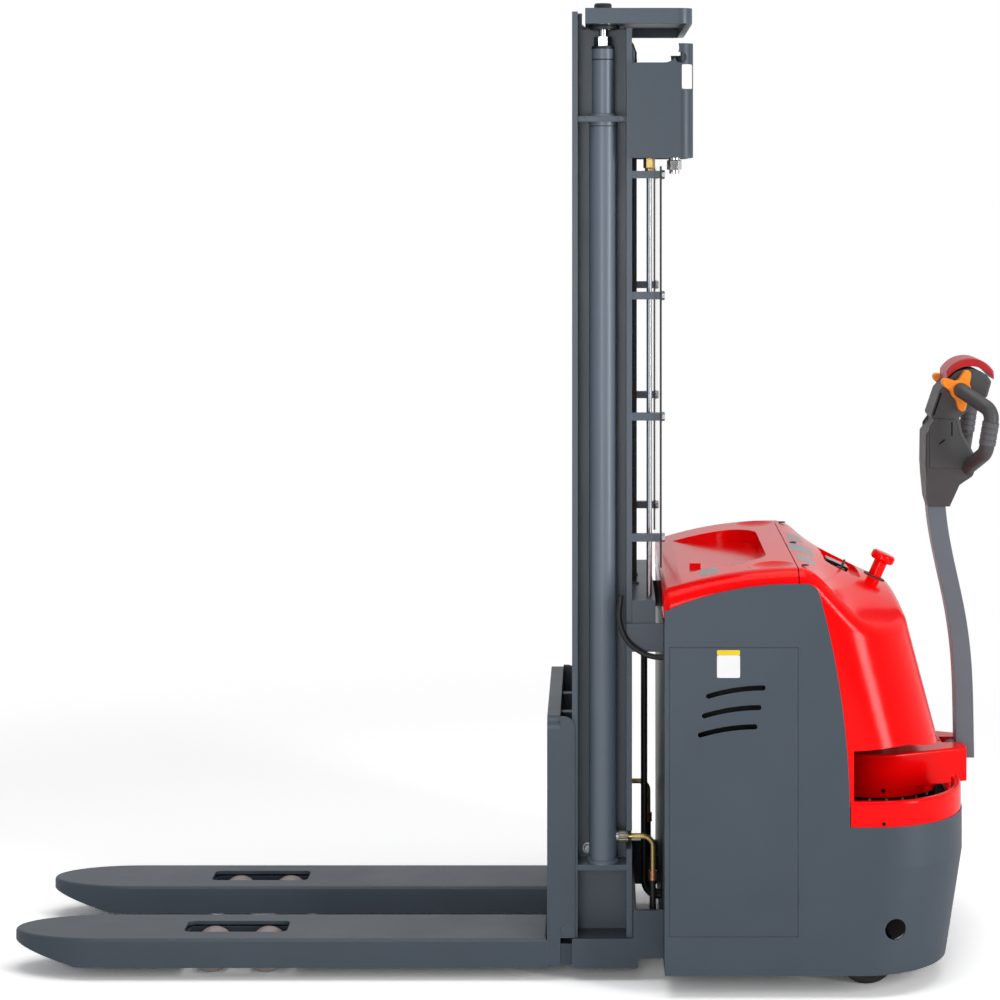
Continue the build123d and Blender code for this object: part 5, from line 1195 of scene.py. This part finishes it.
def backdrop_level(tree):
    """The backdrop's strength: full where it is seen, less in reflections, least as light on the object.

    The side of the room that the object's near side mirrors is darker than the backdrop behind it.
    """
    rays = add_node(tree, "ShaderNodeLightPath").outputs
    way = add_node(tree, "ShaderNodeTexCoord").outputs["Generated"]
    depth = add_node(tree, "ShaderNodeSeparateXYZ", {0: way}).outputs["Y"]
    room = add_node(
        tree, "ShaderNodeMapRange",
        {"Value": depth, "From Min": ROOM_DEPTHS[0], "From Max": ROOM_DEPTHS[1],
         "To Min": ROOM_LEVELS[0], "To Max": ROOM_LEVELS[1]},
    ).outputs["Result"]
    mirrored = math(tree, "MULTIPLY", rays["Is Glossy Ray"], room)
    seen = math(tree, "MAXIMUM", rays["Is Camera Ray"], rays["Is Transmission Ray"])
    return math(tree, "MAXIMUM", math(tree, "MAXIMUM", mirrored, seen), AMBIENT)


def white_world():
    """A white backdrop that lights the object, and is mirrored, more softly than it shows."""
    world = bpy.data.worlds.new("studio")
    world.use_nodes = True
    tree = world.node_tree
    back = tree.nodes["Background"]
    back.inputs["Color"].default_value = (1, 1, 1, 1)
    tree.links.new(backdrop_level(tree), back.inputs["Strength"])
    bpy.context.scene.world = world


def pale_floor_paint():
    """Matt paint that is seen paler than it lights the object, and fades into the backdrop."""
    made, tree, bsdf = blank_material("pale_floor")
    tree.nodes.remove(bsdf)
    seen = add_node(tree, "ShaderNodeLightPath").outputs["Is Camera Ray"]
    matt = add_node(tree, "ShaderNodeBsdfDiffuse", {"Color": mixed(tree, seen, FLOOR_COLOUR, FLOOR_SEEN)})
    place = add_node(tree, "ShaderNodeTexCoord").outputs["Object"]
    reach = add_node(tree, "ShaderNodeVectorMath", {0: place}, operation="LENGTH")
    rim = add_node(
        tree, "ShaderNodeMapRange",
        {"Value": reach.outputs["Value"], "From Min": FLOOR_FADE[0], "From Max": FLOOR_FADE[1]},
        interpolation_type="SMOOTHSTEP",
    )
    glow = add_node(tree, "ShaderNodeEmission", {"Color": (1, 1, 1, 1), "Strength": 1.0})
    blend = add_node(
        tree, "ShaderNodeMixShader", {0: rim.outputs["Result"], 1: matt.outputs[0], 2: glow.outputs[0]}
    )
    tree.links.new(blend.outputs[0], tree.nodes["Material Output"].inputs["Surface"])
    return made


def pale_floor():
    """A floor disc that keeps the shadow."""
    mesh = bpy.data.meshes.new("floor")
    shape = bmesh.new()
    bmesh.ops.create_circle(shape, cap_ends=True, segments=FLOOR_SIDES, radius=FLOOR_R)
    shape.to_mesh(mesh)
    shape.free()
    mesh.materials.append(pale_floor_paint())
    floor = bpy.data.objects.new("floor", mesh)
    bpy.context.scene.collection.objects.link(floor)


def softbox(name, place, aim, size, power):
    """A rectangular studio lamp aimed at a point."""
    lamp = bpy.data.lights.new(name, "AREA")
    lamp.shape = "RECTANGLE"
    lamp.size, lamp.size_y = size
    lamp.energy = power
    made = bpy.data.objects.new(name, lamp)
    made.location = place
    made.rotation_euler = (Vector(aim) - Vector(place)).to_track_quat("-Z", "Y").to_euler()
    bpy.context.scene.collection.objects.link(made)


def level_camera():
    """The camera, level and facing the near side, with its picture shifted as in a view camera."""
    view = bpy.data.cameras.new("camera")
    view.sensor_width = CAMERA_SENSOR
    view.lens = CAMERA_LENS
    view.shift_x, view.shift_y = CAMERA_SHIFT
    camera = bpy.data.objects.new("camera", view)
    camera.location = CAMERA_PLACE
    camera.rotation_euler = (pi / 2, 0, 0)
    bpy.context.scene.collection.objects.link(camera)
    bpy.context.scene.camera = camera


def studio():
    """All that stands round the object."""
    white_world()
    pale_floor()
    for lamp in LAMPS:
        softbox(*lamp)
    bpy.context.scene.view_settings.view_transform = "Standard"
    level_camera()


studio()
